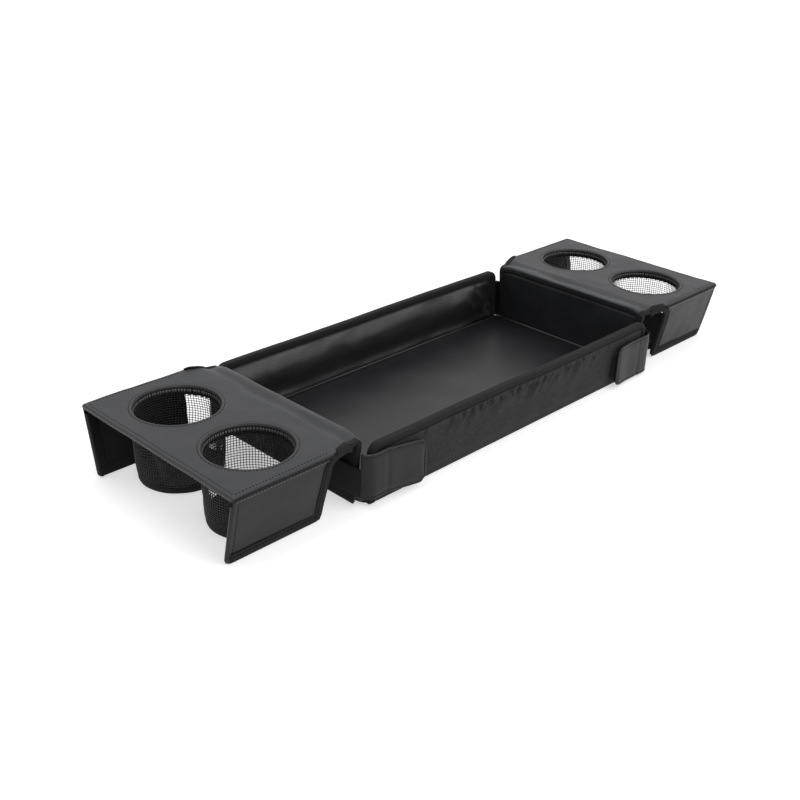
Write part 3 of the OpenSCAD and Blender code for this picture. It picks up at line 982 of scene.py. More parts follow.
def make_saddle(name, end):
    place = on_saddle(end)
    hide = finish["saddle_leather"]
    skin = sew(name + "_saddle_leather", saddle_pattern, place, hide, end, rub=saddle_rub)
    thicken(skin, skin_t)
    across_crease(skin, end)
    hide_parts(name + "_saddle_cover", name + "_end_liner")
    sew_saddle_seams(name, end, place)
    return skin


def sew_saddle_seams(name, end, place):
    rings = [arc(s_of_x(cup_x), side * cup_y, cup_r + seam_ring, 0, 360, 96) for side in (-1, 1)]
    hem = [(s_of_x(saddle_out - hem_seam), t) for t in spread(-edge_y + 3, edge_y - 3, 2)]
    along = spread(s_of_x(slot_out + 4), s_of_x(edge_x - 3), 2)
    sides = [[(s, t) for s in along] for t in (side_seam - edge_y, edge_y - side_seam)]
    reach = half_width(s_roll) - 7
    tucked = [(s_roll - crease_seam, t) for t in spread(-reach, reach, 2)]
    for seam, spots, body in (
        ("opening", rings, "saddle"),
        ("hem", [hem] + sides, "saddle"),
        ("crease", [tucked], "end"),
    ):
        lines = [seam_line(place, line) for line in spots]
        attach(stitches(f"{name}_{seam}_stitches", lines, end), f"{name}_{body}")


saddles = {name: make_saddle(name, end) for name, end in ENDS.items()}
print("saddle leathers:", [o.name for o in saddles.values()])

# %% [markdown]
# ## The flat sizes of the sheets
# The flat size and the area of each piece of cloth and leather are worked out from its pattern and printed.


# %% Flat sizes
def declare(made, pattern, rests_on=()):
    points, faces = pattern
    us, vs = [p[0] for p in points], [p[1] for p in points]
    flat = ((max(us) - min(us)) * MM, (max(vs) - min(vs)) * MM)
    area = 0.0
    for face in faces:
        corners = [points[i] for i in face]
        for (ax, ay), (bx, by) in zip(corners, corners[1:] + corners[:1]):
            area += (ax * by - bx * ay) / 2
    area = min(area * MM * MM, flat[0] * flat[1])
    print(made.name, "flat", [round(c / MM) for c in flat], "mm, area", round(area * 1e4), "square cm")


for name, skin in saddles.items():
    declare(skin, saddle_pattern, [name + "_saddle_board", name + "_end_board"])

# %% [markdown]
# ## Edge binding
# Every raw edge on the tray is wrapped in a ribbed tape, folded in half over the edge and sewn through. The
# section below is that folded tape. It is carried along each edge, with its two arms on the two faces of
# the panel.


# %% The section of a folded tape
bend_r = 1.6
tape_grip = 0.1


def folded_tape(top, bottom, width=tape_width, seed=0.0):
    """Points of (inward from the edge, out of the face) round a tape folded over an edge."""
    loose = 0.25 * noise.noise(Vector((seed * 0.13, 1.7, 0.4)))
    w = width * (1 + 0.06 * noise.noise(Vector((seed * 0.09, 4.1, 0.8))))
    t, b = top + tape_t, bottom - tape_t
    r = min(bend_r, width * 0.6, (top - bottom) / 2 + tape_t)
    bend = [(r * (1 - math.sin(a)) - tape_t * math.sin(a), r * (1 - math.cos(a))) for a in (0.5, 1.0, 1.4)]
    outer = [(w, top + 0.1), (w - 0.2, t - 0.15), (w * 0.85, t), (w * 0.5, t + loose * 0.5), (r, t)]
    outer += [(inward, t - drop) for inward, drop in bend]
    outer += [(-tape_t, (t + b) / 2)]
    outer += [(inward, b + drop) for inward, drop in bend[::-1]]
    outer += [(r, b), (w * 0.5, b - loose * 0.5), (w * 0.85, b), (w - 0.2, b + 0.15), (w, bottom - 0.1)]
    return outer + [(w * 0.8, bottom), (0.4, bottom), (0.4, top), (w * 0.8, top)]


def tape_seam(stations, depth, lift):
    return [(point + across * depth + out * lift, out) for point, across, out in stations]


print("the tape's section has", len(folded_tape(tape_grip, -skin_t)), "points")


# %% [markdown]
# ## The tape from the end wall to the notch
# One tape climbs the side edge of each end wall, turns over the crease in a soft arch, and runs along the
# flared neck of the saddle as far as the flap. Over the crease its sections fan round the inner corner of
# the fold, so it bunches there as a real tape does.


# %% The path of the edge tape
tape_foot = 5.5
s_neck_end = s_of_x(slot_out - 5)
back_gap = 0.2
arch_rise, arch_width = 1.2, 7
relax_rounds, relax_below, relax_beyond = 25, 14, 11


def neck_tape_width(x):
    """The tape is narrower along the neck, where it is tucked under the leather."""
    return 5.5 - 2.5 * ease((x - (slot_out - 22)) / 14)


def neck_thickness(x):
    """Leather and lining part a little along the neck, and the tape goes round both."""
    return 3.0 + 2.5 * ease((x - 258) / 14)


def relax(stations):
    """Rounds off the path of a tape near the crease, by moving each station towards its neighbours."""
    for _ in range(relax_rounds):
        fresh = list(stations)
        for k in range(1, len(stations) - 1):
            spot = stations[k][0]
            if spot.z < crease_z - relax_below or spot.x > crease_x + relax_beyond:
                continue
            before, here, after = stations[k - 1 : k + 2]
            point, across, out, reach, width = (
                a * 0.25 + b * 0.5 + c * 0.25 for a, b, c in zip(before, here, after)
            )
            fresh[k] = (point, across.normalized(), out.normalized(), reach, width)
        stations = fresh
    return stations


def edge_stations(end):
    """Stations of (point, across, out, thickness, width) up the end wall's edge and along the neck."""
    place = on_saddle(end)
    found = []
    rows = spread(tape_foot, s_roll - 12, 4) + spread(s_roll - 11, s_top + 8, 0.9)
    rows += spread(s_top + 9, s_neck_end, 2.6)
    for s in rows:
        t = half_width(s)
        point = place(s, t)
        inward = (place(s, t - 1.5) - point).normalized()
        if s <= s_roll:
            back = Vector((panel_out + tape_grip, point.y, min(point.z, saddle_foot - back_gap)))
        elif s < s_top:
            back = Vector((panel_out + back_gap, point.y, saddle_foot - 2 * back_gap))
        else:
            low = point.z - neck_thickness(point.x)
            back = Vector((max(point.x, panel_out + back_gap), point.y, low))
        reach = (point - back).length
        width = tape_width if s < s_roll else neck_tape_width(point.x)
        found.append((point, inward, (point - back) / reach, reach, width))
    found = relax(found)
    peak = max((station[0] for station in found), key=lambda point: point.z)
    arched = []
    for point, across, out, reach, width in found:
        rise = out * arch_rise * dip((point - peak).length, arch_width)
        arched.append((point + rise, across, out, reach, width))
    return arched


# %% [markdown]
# A second, narrow tape covers the seam between the side of the saddle and the flap. It rides the saddle
# alone, while the edge tape goes over the crease with the leather that it is sewn to and, like it, rides
# no body.


# %% Edge and side tapes
seam_in, seam_up = 2.0, 0.2
side_tape_drop, side_tape_width, side_tape_thick = 2.6, 2.4, 1.7


def make_side_tape(name, end, side):
    place = on_saddle(end)
    stations = []
    for x in spread(slot_out - 1.5, saddle_out - 1.0, 3):
        top = place(s_of_x(x), edge_y - 1).z - saddle_top
        spot = Vector((x, saddle_half + 0.15, saddle_top - side_tape_drop + 0.6 * top))
        stations.append((spot, Vector((0, -1, 0)), Vector((0, 0, 1))))

    def section(k):
        seed = k * 2.0 + 30 * end + 7 * side
        return folded_tape(tape_grip, -side_tape_thick, side_tape_width, seed)

    tape = sweep(name + "_side_tape", stations, section, finish["edge_tape"], end, side, rub=0.2)
    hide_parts(END_NAMES[end] + "_notch_bindings")
    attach(tape, END_NAMES[end] + "_saddle")


def make_edge_tape(name, end, side):
    stations = edge_stations(end)
    flat = [(p, a, o) for p, a, o, _, _ in stations]

    def section(k):
        _, _, _, thick, width = stations[k]
        return folded_tape(tape_grip, -thick, width, seed=k * 3.0 + 40 * end + 9 * side)

    tape = sweep(name + "_edge_tape", flat, section, finish["edge_tape"], end, side, rub=0.35)
    across_crease(tape, end)
    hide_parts(END_NAMES[end] + "_end_bindings", END_NAMES[end] + "_notch_bindings")
    seam = []
    for point, across, out, _, width in stations:
        if width > 6:
            seam.append((point + across * (width - seam_in) + out * (tape_t + seam_up), out))
    across_crease(stitches(name + "_edge_tape_stitches", [seam], end, side), end)
    return len(stations)


for name, (end, side) in CORNERS.items():
    print(name, "edge tape with", make_edge_tape(name, end, side), "stations")
    make_side_tape(name, end, side)

# %% [markdown]
# ## The hanging flaps
# Each flap is a stiff leather panel that hangs from under the side of the saddle and leans in against the
# cups. Its leather starts behind the saddle's turned-down edge, where it is sewn, and bulges a little
# before it falls. Its outer edge is turned back on the inside and stitched, and tape binds the slot edge
# and the lower edge.


# %% The flap's surface
flap_slant = math.radians(12.0)
flap_lift = 0.3
flap_length = (flap_hinge.z - flap_lift) / math.cos(flap_slant) - tape_t
flap_thick = 4.2
flap_down = Vector((0, -math.sin(flap_slant), -math.cos(flap_slant)))
flap_out = Vector((0, math.cos(flap_slant), -math.sin(flap_slant)))
flap_rake, flap_corner_r = 5.0, 2.5
hem_roll = (flap_thick + 0.5) / 2
hem_back = 9.0
flap_groove, flap_seam = 6.5, 4.0


def flap_spot(x, w, n=0.0):
    """A point of the back flap's plane, w down from its hinge and n out of it."""
    return Vector((x, flap_hinge.y, flap_hinge.z)) + flap_down * w + flap_out * n


flap_head = [(123.0, 77.9), (123.3, 76.3), (123.9, 75.6), (124.7, 75.25)]
flap_head += [(125.2, 74.9), (125.4, 74.35), (125.3, 73.7)]
flap_track = Track(flap_head + [tuple(flap_spot(0, w).yz) for w in (1.2, flap_length)])
flap_v0 = flap_track.length - flap_length
print("a flap hangs", round(flap_length, 1), "mm down from its hinge")

# %% [markdown]
# The surface of a flap is worked out like the saddle's: a track seen from the end, edges that depend on how
# far down they are, and dents. Past the outer fold the leather turns round half a circle and comes back on
# the inside.


# %% Edges, dents and folds of a flap
def slot_edge(w):
    """Where the flap's slot edge is. It is cut back at the top, where the tape comes round."""
    return slot_out + flap_rake * w / flap_length + 3.0 * math.exp(-max(w, 0) / 6)


def outer_fold(w):
    rise = max(0.0, w - (flap_length - flap_corner_r))
    corner = flap_corner_r - math.sqrt(max(0.0, flap_corner_r**2 - rise**2))
    return saddle_out - hem_roll - corner


def flap_dents(x, w, end, side):
    """Height of the leather off the flap's plane, with a groove along the outer seam."""
    seed = 20 * end + 7 * side
    h = 0.8 * drift(x, w, seed, 46) + 0.3 * drift(x, w, seed + 3, 17)
    h *= ease(w / 12) * ease((flap_length - w) / 10)
    h += 0.25 * drift(x, w * 0.2, seed + 9, 6) * dip(w - 3, 4)
    h -= 0.5 * dip(saddle_out - x - flap_groove, 0.7) * ease(w / 5)
    return h


def on_flap(end, side):
    def place(x, v):
        w = v - flap_v0
        spot, out = flap_track.at(v), flap_track.out(v)
        past = x - outer_fold(w)
        depth, over = 0.0, x
        if past > 0:
            turn = min(past / hem_roll, math.pi)
            depth = hem_roll * (1 - math.cos(turn))
            over = outer_fold(w) + hem_roll * math.sin(turn) - max(0.0, past - hem_roll * math.pi)
        spot = spot + out * (flap_dents(x, w, end, side) * (1 - depth / (2 * hem_roll)) - depth)
        return Vector((over, spot.x, spot.y))

    return place


def flap_outline():
    """A notch at the head of the cut lets the outer fold start below the hinge."""
    bottom = flap_track.length
    back = hem_roll * math.pi + hem_back
    outer = [(outer_fold(0) + 1.0, 0.0), (outer_fold(0) + 2.0, flap_v0 + 5)]
    outer += [(outer_fold(v - flap_v0) + back, v) for v in spread(flap_v0 + 8, bottom, 4)]
    return outer + [(slot_edge(v - flap_v0), v) for v in spread(bottom, 0.0, 4)]


flap_u = spread(slot_out - 4, saddle_out - hem_roll - 10, 4.2)
flap_u += spread(saddle_out - 11, saddle_out + 14, 0.9)
flap_v = spread(0.6, flap_v0 + 2, 0.7) + spread(flap_v0 + 4, flap_track.length, 3.8)
flap_pattern = cut(flap_outline(), flap_u, flap_v, borders=(0.8,))
print("flap pattern", len(flap_pattern[0]), "points")

# %% [markdown]
# Behind the leather hangs a dark lining, and one tape binds both along the slot edge and the lower edge. On
# the real tray that tape comes down from the neck of the saddle, so its path starts there and swings over
# to the flap.


# %% Flap lining and the path of its tape
lining_pattern = cut(
    [
        (slot_edge(0) + 1, 1.0),
        (outer_fold(0) - 1, 1.0),
        (outer_fold(0) - 1, flap_length - 6),
        (outer_fold(0) - 6, flap_length - 1),
    ]
    + [(slot_edge(w) + 1, w) for w in spread(flap_length - 1, 5, 8)],
    spread(slot_out, saddle_out, 6),
    spread(0, flap_length, 6),
)


def flap_edge_path():
    """Spots (x, w) down the slot edge, round the corner and along the lower edge."""
    corner_r = 6.0
    foot = flap_length
    line = [(slot_edge(w), w) for w in spread(11, foot - corner_r, 3.2)]
    cx = slot_edge(foot) + corner_r
    line += arc(cx, foot - corner_r, corner_r, 180, 90, 5)[1:]
    return line + [(x, foot) for x in spread(cx + 2, saddle_out - 1.6, 4)]


band_hang, band_face = Vector((0, 1.0, -7.4)), Vector((0, 1, 0.3))
swing_pull, swing_steps = 15, 9


def flap_tape_stations(end, side):
    """A tape hangs as a band from the neck, swings down in a curve and follows the flap's edge."""
    saddle, flap = on_saddle(end), on_flap(end, side)
    spots = []
    for x in spread(slot_out - 27, slot_out - 9, 2.2):
        s = s_of_x(x)
        spots.append((saddle(s, half_width(s)) + band_hang, band_face))
    path = [flap(x, w + flap_v0) for x, w in flap_edge_path()]
    start, stop = spots[-1][0], path[0]
    first = (start - spots[-2][0]).normalized() * swing_pull
    last = (path[1] - path[0]).normalized() * swing_pull
    for i in range(1, swing_steps):
        u = i / swing_steps
        point = start * (1 + 2 * u) * (1 - u) ** 2 + first * u * (1 - u) ** 2
        point += stop * (3 - 2 * u) * u**2 + last * (u - 1) * u**2
        spots.append((point, band_face.lerp(flap_out, ease(u * 1.1))))
    spots += [(point, flap_out.copy()) for point in path]
    found = []
    for k, (point, hint) in enumerate(spots):
        along = (spots[min(k + 1, len(spots) - 1)][0] - spots[max(k - 1, 0)][0]).normalized()
        out = (hint - along * hint.dot(along)).normalized()
        found.append((point, along.cross(out), out))
    return found


print("a flap's tape has", len(flap_tape_stations(1, 1)), "stations")

# %% [markdown]
# A front flap also has a gusset: its lining turns in at the slot edge as a triangle, so that the notch is
# dark from outside. The photograph is black there, so this is a guess at how it is closed.


# %% Lining, gusset and tape of a flap
def hang_lining(name, piece, pattern, place, end, side, inward=False):
    cloth = finish["dark_lining"]
    lining = sew(f"{name}_{piece}", pattern, place, cloth, end, side, inward=inward)
    thicken(lining, lining_t)
    declare(lining, pattern, [name + "_flap_panel"])
    return lining


def make_flap_lining(name, end, side):
    def place(x, w):
        return flap_spot(x, w, 0.3 * drift(x, w, 31 * end + 5 * side, 25) - flap_thick)

    lining = hang_lining(name, "flap_inside", lining_pattern, place, end, side, inward=True)
    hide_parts(name + "_flap_lining")
    return lining


gusset_head, gusset_deep, gusset_tip = 10, 33, flap_length - 20
gusset_pattern = cut(
    [(0, gusset_head), (gusset_deep, gusset_head), (8, gusset_tip), (0, gusset_tip + 3)],
    spread(2, gusset_deep - 2, 3.5),
    spread(gusset_head + 2, gusset_tip - 2, 4),
)


def make_gusset(name, end, side):
    def place(depth, w):
        sag = 0.4 * drift(depth, w, 51 * end + 5 * side, 14)
        return flap_spot(slot_edge(w) + 2.0 + sag, w, -flap_thick - depth)

    gusset = hang_lining(name, "notch_gusset", gusset_pattern, place, end, side)
    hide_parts(name + "_flap_panel")
    return gusset


band_width, band_thick, band_ends = 8.0, 1.8, 10


def make_flap_tape(name, end, side, stations):
    def section(k):
        width = band_width + (tape_width - 6.5) * ease((k - band_ends) / 10)
        thick = band_thick + (flap_thick - band_thick) * ease((k - band_ends) / 8)
        return folded_tape(tape_grip, -thick + tape_grip, width, seed=k * 3.3 + 17 * end + 5 * side)

    tape = sweep(name + "_flap_tape", stations, section, finish["edge_tape"], end, side)
    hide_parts(name + "_flap_binding")
    return tape


# %% [markdown]
# The whole flap hangs from the saddle's seam. Its pieces are not blended from the saddle to the flap at the
# hinge and ride no body, so they don't swing up with the flap.


# %% Sewing the flaps
hinge_above, hinge_below = 3.2, 2.4


def hinge_blend(made, name, side):
    """Bakes a piece's placement into its mesh; it doesn't bend it between the saddle and the flap."""
    y, z = flap_hinge.y * side, flap_hinge.z
    start, stop = (Vector((0, y, z + rise)) * MM for rise in (hinge_above, -hinge_below))
    name + "_flap"
    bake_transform(made)


# Painted highlight along the flap's head fold, and wear along its outer fold.
def flap_highlight_and_wear(x, v):
    return min(1.0, 0.9 * dip(v - flap_v0 + 1.0, 1.6) + 0.5 * dip(x - outer_fold(v - flap_v0) - 2, 2))


def make_flap(name, end, side):
    place = on_flap(end, side)
    skin = sew(name + "_flap_leather", flap_pattern, place, finish["flap_leather"], end, side, rub=flap_highlight_and_wear)
    thicken(skin, skin_t)
    declare(skin, flap_pattern, [name + "_flap_panel"])
    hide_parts(name + "_flap_panel")
    lining = make_flap_lining(name, end, side)
    stations = flap_tape_stations(end, side)
    tape = make_flap_tape(name, end, side, stations)
    seam = tape_seam(stations, tape_width - seam_in, tape_t + seam_up)
    outer_rows = spread(flap_v0 + 3, flap_track.length - 9, 3)
    outer = [(outer_fold(v - flap_v0) - flap_seam, v) for v in outer_rows]
    head = [(x, flap_v0 - 0.2) for x in spread(slot_out + 6, saddle_out - 4, 3)]
    lines = stitches(name + "_flap_stitches", [seam, seam_line(place, outer)], end, side)
    # These stitches are pale thread, as a painted highlight along the fold at the flap's head.
    pale = finish["pale_thread"]
    highlight_stitches_at_head = stitches(name + "_head_stitches", [seam_line(place, head)], end, side, pale, 0.9)
    pieces = [skin, lining, tape, lines, highlight_stitches_at_head]
    if side < 0:
        pieces.append(make_gusset(name, end, side))
    for made in pieces:
        hinge_blend(made, name, side)


for name, (end, side) in CORNERS.items():
    make_flap(name, end, side)

# %% [markdown]
# ## The mesh cups
# Each cup is a sleeve of open mesh, sewn to a pleated hem under its opening and to a cup base below. The
# sleeve's threads are a grid wrapped round the cup, with a wire along each edge, so light and background
# show through real gaps. The grid is pushed in along two or three soft folds, because the mesh is limp.


# %% The shape of a mesh sleeve
sleeve_low, sleeve_high = 8.6, saddle_foot - 1.2
sleeve_foot_r, sleeve_belly, sleeve_taper = 44.9, 2.2, 0.3
threads_round, threads_up = 96, 22


def sleeve_radius(share):
    return sleeve_foot_r + sleeve_taper * share + sleeve_belly * math.sin(math.pi * share)


def sleeve_push(angle, share, folds):
    """How far folds of (angle, slant, depth, width), in turns and millimetres, push the mesh in."""
    push = 0.0
    for at, slant, depth, width in folds:
        away = (angle - at - slant * (share - 0.5) + 0.5) % 1.0 - 0.5
        push += depth * dip(away * 2 * math.pi * cup_r, width) * math.sin(math.pi * share) ** 0.7
    return push


cup_folds = {
    "left_front": [(0.42, 0.05, 5.0, 5.0), (0.93, -0.12, 3.5, 4.0), (0.7, 0.08, 2.5, 5.0)],
    "left_back": [(0.85, 0.06, 3.0, 5.0), (0.55, -0.08, 3.0, 6.0)],
    "right_front": [(0.3, 0.12, 4.5, 4.0), (0.14, -0.05, 3.0, 5.0), (0.75, 0.05, 3.0, 5.0)],
    "right_back": [(0.2, 0.05, 2.0, 6.0), (0.7, 0.1, 3.0, 5.0)],
}


def sleeve_spot(angle, share, name, seed, depth=0.0):
    """A point of the mesh from the cup's axis, at a place round it in turns and a share of its height."""
    turn = 2 * math.pi * (angle + 0.004 * drift(angle * 60, share * 30, seed, 9))
    limp = math.sin(math.pi * share)
    r = sleeve_radius(share) - sleeve_push(angle, share, cup_folds[name]) - depth
    r += 0.7 * drift(math.cos(turn) * 40, math.sin(turn) * 40, share * 40 + seed, 22) * limp
    z = sleeve_low + (sleeve_high - sleeve_low) * share
    z += 0.8 * drift(math.cos(turn) * 40, math.sin(turn) * 40, share * 40 - seed, 18) * limp
    return r * math.cos(turn), r * math.sin(turn), z


print(threads_round, "threads round a sleeve and", threads_up, "up it")

# %% [markdown]
# A Wireframe modifier turns each edge of the grid into a thread. The strip's two ends lap over each other
# at the front, where the net looks denser: the lap is a second, smaller grid, half a mesh further on and a
# little inside.


# %% Mesh sleeves
thread_t = 1.05
lap_at, lap_half, lap_depth = 0.62, 0.22, 1.4
lap_rows = range(3, threads_up - 1)
cup_travel = 50


def thread_grid(columns, rows, closed):
    """The faces of a grid of points, row by row."""
    faces = []
    for row in range(rows - 1):
        for column in range(columns if closed else columns - 1):
            a, b = row * columns + column, row * columns + (column + 1) % columns
            faces.append([a, b, b + columns, a + columns])
    return faces


def make_sleeve(name, end, side):
    cx, cy = cup_x * end, cup_y * side
    seed = 11 * end + 3 * side
    rows = range(threads_up + 1)
    round_cup = [(row, column, 0.0) for row in rows for column in range(threads_round)]
    first, last = (round((lap_at + way * lap_half) * threads_round) for way in (-1, 1))
    lap = [(row + 0.5, column + 0.5, lap_depth) for row in lap_rows for column in range(first, last)]
    verts, uvs = [], []
    for row, column, depth in round_cup + lap:
        x, y, z = sleeve_spot(column / threads_round, row / threads_up, name, seed, depth)
        verts.append((cx + x, cy + y, z))
        uvs.append((column * 3.0, row * 3.0))
    faces = thread_grid(threads_round, threads_up + 1, True)
    base = len(round_cup)
    faces += [[base + i for i in face] for face in thread_grid(last - first, len(lap_rows), False)]
    made = add_object(name + "_mesh", verts, faces, [finish["black_mesh"]], uvs)
    wires = made.modifiers.new("threads", "WIREFRAME")
    wires.thickness = thread_t * MM
    wires.use_even_offset = False
    wires.use_boundary = True
    wires.use_replace = True
    wide = 2 * math.pi * (cup_r + 1) * (1 + 2 * lap_half) * MM
    tall = sleeve_high - sleeve_low
    tall * MM
    name + "_cup_base"
    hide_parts(name + "_mesh_sleeve")
    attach(made, END_NAMES[end] + "_saddle")
    keep = (tall - cup_travel) / tall
    name + "_cup_collapse"
    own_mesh(made)
    print(made.name, "has", len(verts), "crossings of threads")


# %% [markdown]
# The hem under each opening is a strip of tape gathered into pleats, with a row of long upright stitches
# that catch the light. The cup base is a turned-up band of cloth round a stiff disc.


# %% Turning a profile round an axis
def revolve(name, profile, cx, cy, material, steps, wobble):
    """Turns a closed profile of (r, z) round an upright axis. wobble(angle, r, z) moves its points."""
    verts, faces, uvs, n = [], [], [], len(profile)
    for k in range(steps):
        turn = 2 * math.pi * k / steps
        for r, z in profile:
            dr, dz = wobble(turn, r, z)
            verts.append((cx + (r + dr) * math.cos(turn), cy + (r + dr) * math.sin(turn), z + dz))
            uvs.append((turn * r, z))
    for k in range(steps):
        for i in range(n):
            j, l = (i + 1) % n, (k + 1) % steps
            if profile[i][0] < 0.01 and profile[j][0] < 0.01:
                continue
            faces.append([k * n + i, k * n + j, l * n + j, l * n + i])
    made = add_object(name, verts, faces, [material], uvs, [0.2] * len(verts), sharp=50)
    face_out(made, weld=True)
    return made


hem_foot = saddle_foot - 5.6
hem_head = saddle_top - 1.9
hem_profile = [(49.0, saddle_foot - 0.3), (46.4, saddle_foot - 0.6), (46.1, saddle_foot - 2.0)]
hem_profile += [(46.0, hem_foot + 1.0), (45.6, hem_foot), (45.1, hem_foot), (44.75, hem_foot + 0.8)]
hem_profile += [(44.6, saddle_foot - 2.0), (44.6, saddle_foot + 1.0), (44.7, hem_head - 0.8)]
hem_profile += [(45.0, hem_head), (45.9, hem_head), (46.0, saddle_foot + 0.9), (49.0, saddle_foot + 0.9)]
base_profile = [(0, 0.35), (20, 0.3), (38, 0.25), (43.2, 0.2), (44.3, 0.7), (44.75, 2.0), (44.7, 5.0)]
base_profile += [(44.65, 8.6), (44.4, 9.7), (43.95, 10.0), (43.5, 9.6), (43.4, 8.0), (43.4, 3.2)]
base_profile += [(42.8, 2.5), (30, 2.3), (12, 2.25), (0, 2.2)]


# %% Hems and cup bases
hem_pleats = 44
dash_count, dash_r, dash_top, dash_foot = 88, 44.45, 1.6, 6.0
base_seam_r, base_seam_z = 44.85, 7.6
finish["cup_cloth"] = weave("cup_cloth", (0.012, 0.012, 0.0125), thread=0.6, depth=0.1, speckle=0.35)


def make_hem(name, end, side):
    cx, cy = cup_x * end, cup_y * side

    def pleats(turn, r, z):
        below = ease((hem_head - 0.5 - z) / 3) if r < 45.5 else 0.4
        uneven = noise.noise(Vector((math.cos(turn) * 3, math.sin(turn) * 3, end + side)))
        phase = turn * hem_pleats + 2.0 * uneven
        return 0.28 * math.sin(phase) * below, 0.3 * math.sin(phase + 0.7) * below

    hem = revolve(name + "_cup_hem", hem_profile, cx, cy, finish["edge_tape"], 6 * hem_pleats, pleats)
    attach(hem, END_NAMES[end] + "_saddle")
    dashes = []
    for k in range(dash_count):
        turn = 2 * math.pi * (k + 0.3 * noise.noise(Vector((k * 0.7, end, side)))) / dash_count
        out = Vector((-math.cos(turn), -math.sin(turn), 0))
        spot = Vector((cx, cy, 0)) - out * dash_r
        dashes.append([(spot + Vector((0, 0, hem_head - low)), out) for low in (dash_top, dash_foot)])
    marks = stitches(name + "_hem_dashes", dashes, 1, 1, finish["pale_thread"], size=1.7, pitch=4.4)
    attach(marks, END_NAMES[end] + "_saddle")


def make_base(name, end, side):
    cx, cy = cup_x * end, cup_y * side

    def soft(turn, r, z):
        up = ease(z / 6)
        seed = Vector((math.cos(turn) * 2.4, math.sin(turn) * 2.4, 3 * end + side))
        return (0.45 * noise.noise(seed) - 0.1) * ease((r - 30) / 10), 0.35 * noise.noise(seed * 1.7) * up

    base = revolve(name + "_base", base_profile, cx, cy, finish["cup_cloth"], RING_STEPS, soft)
    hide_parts(name + "_cup_base")
    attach(base, name + "_cup")
    ring = []
    for x, y in arc(cx, cy, base_seam_r, 0, 360, 96):
        out = Vector((x - cx, y - cy, 0)).normalized()
        ring.append((Vector((x, y, base_seam_z)) + out * 0.05, out))
    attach(stitches(name + "_base_stitches", [ring]), name + "_cup")


for name, (end, side) in CORNERS.items():
    for make_part in (make_sleeve, make_hem, make_base):
        make_part(name, end, side)

# %% [markdown]
# ## The long walls
# A long wall is a padded panel: leather inside, woven cloth outside, and a stiffener between them. The pad
# is sewn as two faces joined along the edge, held fast where the binding grips it, and blown up a little by
# a cloth simulation with pressure. The limp cover then gets its puckers under the binding, and the leather
# its soft dents.


# %% Places on a long wall
wall_lean = math.radians(2.7)
wall_half, wall_top, wall_foot = 236.9, 65.9, -2.3
wall_inner, wall_outer, wall_corner_r = 1.8, 9.2, 12.0
wall_mid = (wall_inner + wall_outer) / 2
half_pad = (wall_outer - wall_inner) / 2
wall_up = Vector((0, math.sin(wall_lean), math.cos(wall_lean)))
wall_out = Vector((0, math.cos(wall_lean), -math.sin(wall_lean)))


def wall_spot(u, v, n):
    """A point of the back wall, from the place along it, up it and out through it."""
    y = n * math.cos(wall_lean) + v * math.sin(wall_lean)
    z = -n * math.sin(wall_lean) + v * math.cos(wall_lean)
    return Vector((u, wall_pivot.y + y, wall_pivot.z + z))


def wall_sway(u, v, side):
    """The top edge isn't quite straight: it leans in and out by a millimetre or two."""
    bow = 1.3 * drift(u, 0, 5 * side, 150) + 0.5 * drift(u, 0, 9 * side, 50)
    return bow * ease(v / wall_top) * ease((wall_half - abs(u)) / 40 + 0.25)


def wall_outline():
    top, r = wall_top, wall_corner_r
    right = [(wall_half, wall_foot)] + arc(wall_half - r, top - r, r, 0, 90, 6)
    return right + [(-u, v) for u, v in right[::-1]]


print("a long wall is", 2 * wall_half, "mm long and", wall_top - wall_foot, "mm high")

# %% [markdown]
# The two faces wrinkle in different ways. The inner leather is slack and swells under its binding. The
# woven cover is gathered there into small pits with slanting folds between them, and lies flat behind the
# corner tabs.


# %% Wrinkles of a long wall
crumple_start, crumple_length = 165, 35
pit_slant = 0.45


def u_to_end(u):
    return wall_half - tape_width - abs(u)


def below_tape(v):
    return wall_top - tape_width - v


def inner_swell(u, v, side):
    """The inner leather swells out under the binding, falls back lower down and comes out at its foot."""
    under = below_tape(v)
    pressed = 1 - 0.55 * ease((u * side - crumple_start) / crumple_length)
    reach = (6.6 + 1.8 * drift(u, 0, 33 * side, 80)) * pressed
    broad = 20 + 4 * drift(u, 3, 36 * side, 60)
    top = reach * math.sin(clamp(under / broad) * math.pi / 2)
    thin = 5.6 * ease((under - 22) / 26)
    cove = 2.2 * ease((13 - v) / 11) ** 1.5 * ease((v + 1) / 4)
    return (top - thin) * ease(u_to_end(u) / 14 + 0.15) + cove * ease(u_to_end(u) / 6 + 0.4)


def wall_pit(u, under, side):
    """How much a spot under the binding lies in one of the cover's puckers, from 0 to 1."""
    slanted = u + pit_slant * under
    deep = drift(slanted, under * 0.3, 2 + side, 6.5) + 0.35 * drift(u, under, 27 + side, 3.5)
    return clamp(2.2 * deep - 0.1)


def outer_wrinkles(u, v, side):
    """Wrinkles of the woven cover, out of the wall: strong along the middle of the front wall only."""
    under = below_tape(v)
    fade = 1 - ease((under - 2) / 26)
    gathered = ease((150 - abs(u - 8)) / 45) if side < 0 else 0.4 * ease((190 - abs(u)) / 45)
    pits = (1.3 - 4.6 * wall_pit(u, under, side)) * (1 - ease((under - 1) / 10))
    folds = 5.0 * drift(u + pit_slant * under, under * 0.25, 8 + side, 12) * fade * ease(under / 6)
    calm = ease(under / 2) * ease(u_to_end(u) / 10)
    tabs = 1 - 0.75 * ease((abs(u) - 150) / 15)
    return ((pits + folds) * gathered + 0.8 * drift(u, v, 4 + side, 24)) * calm * tabs


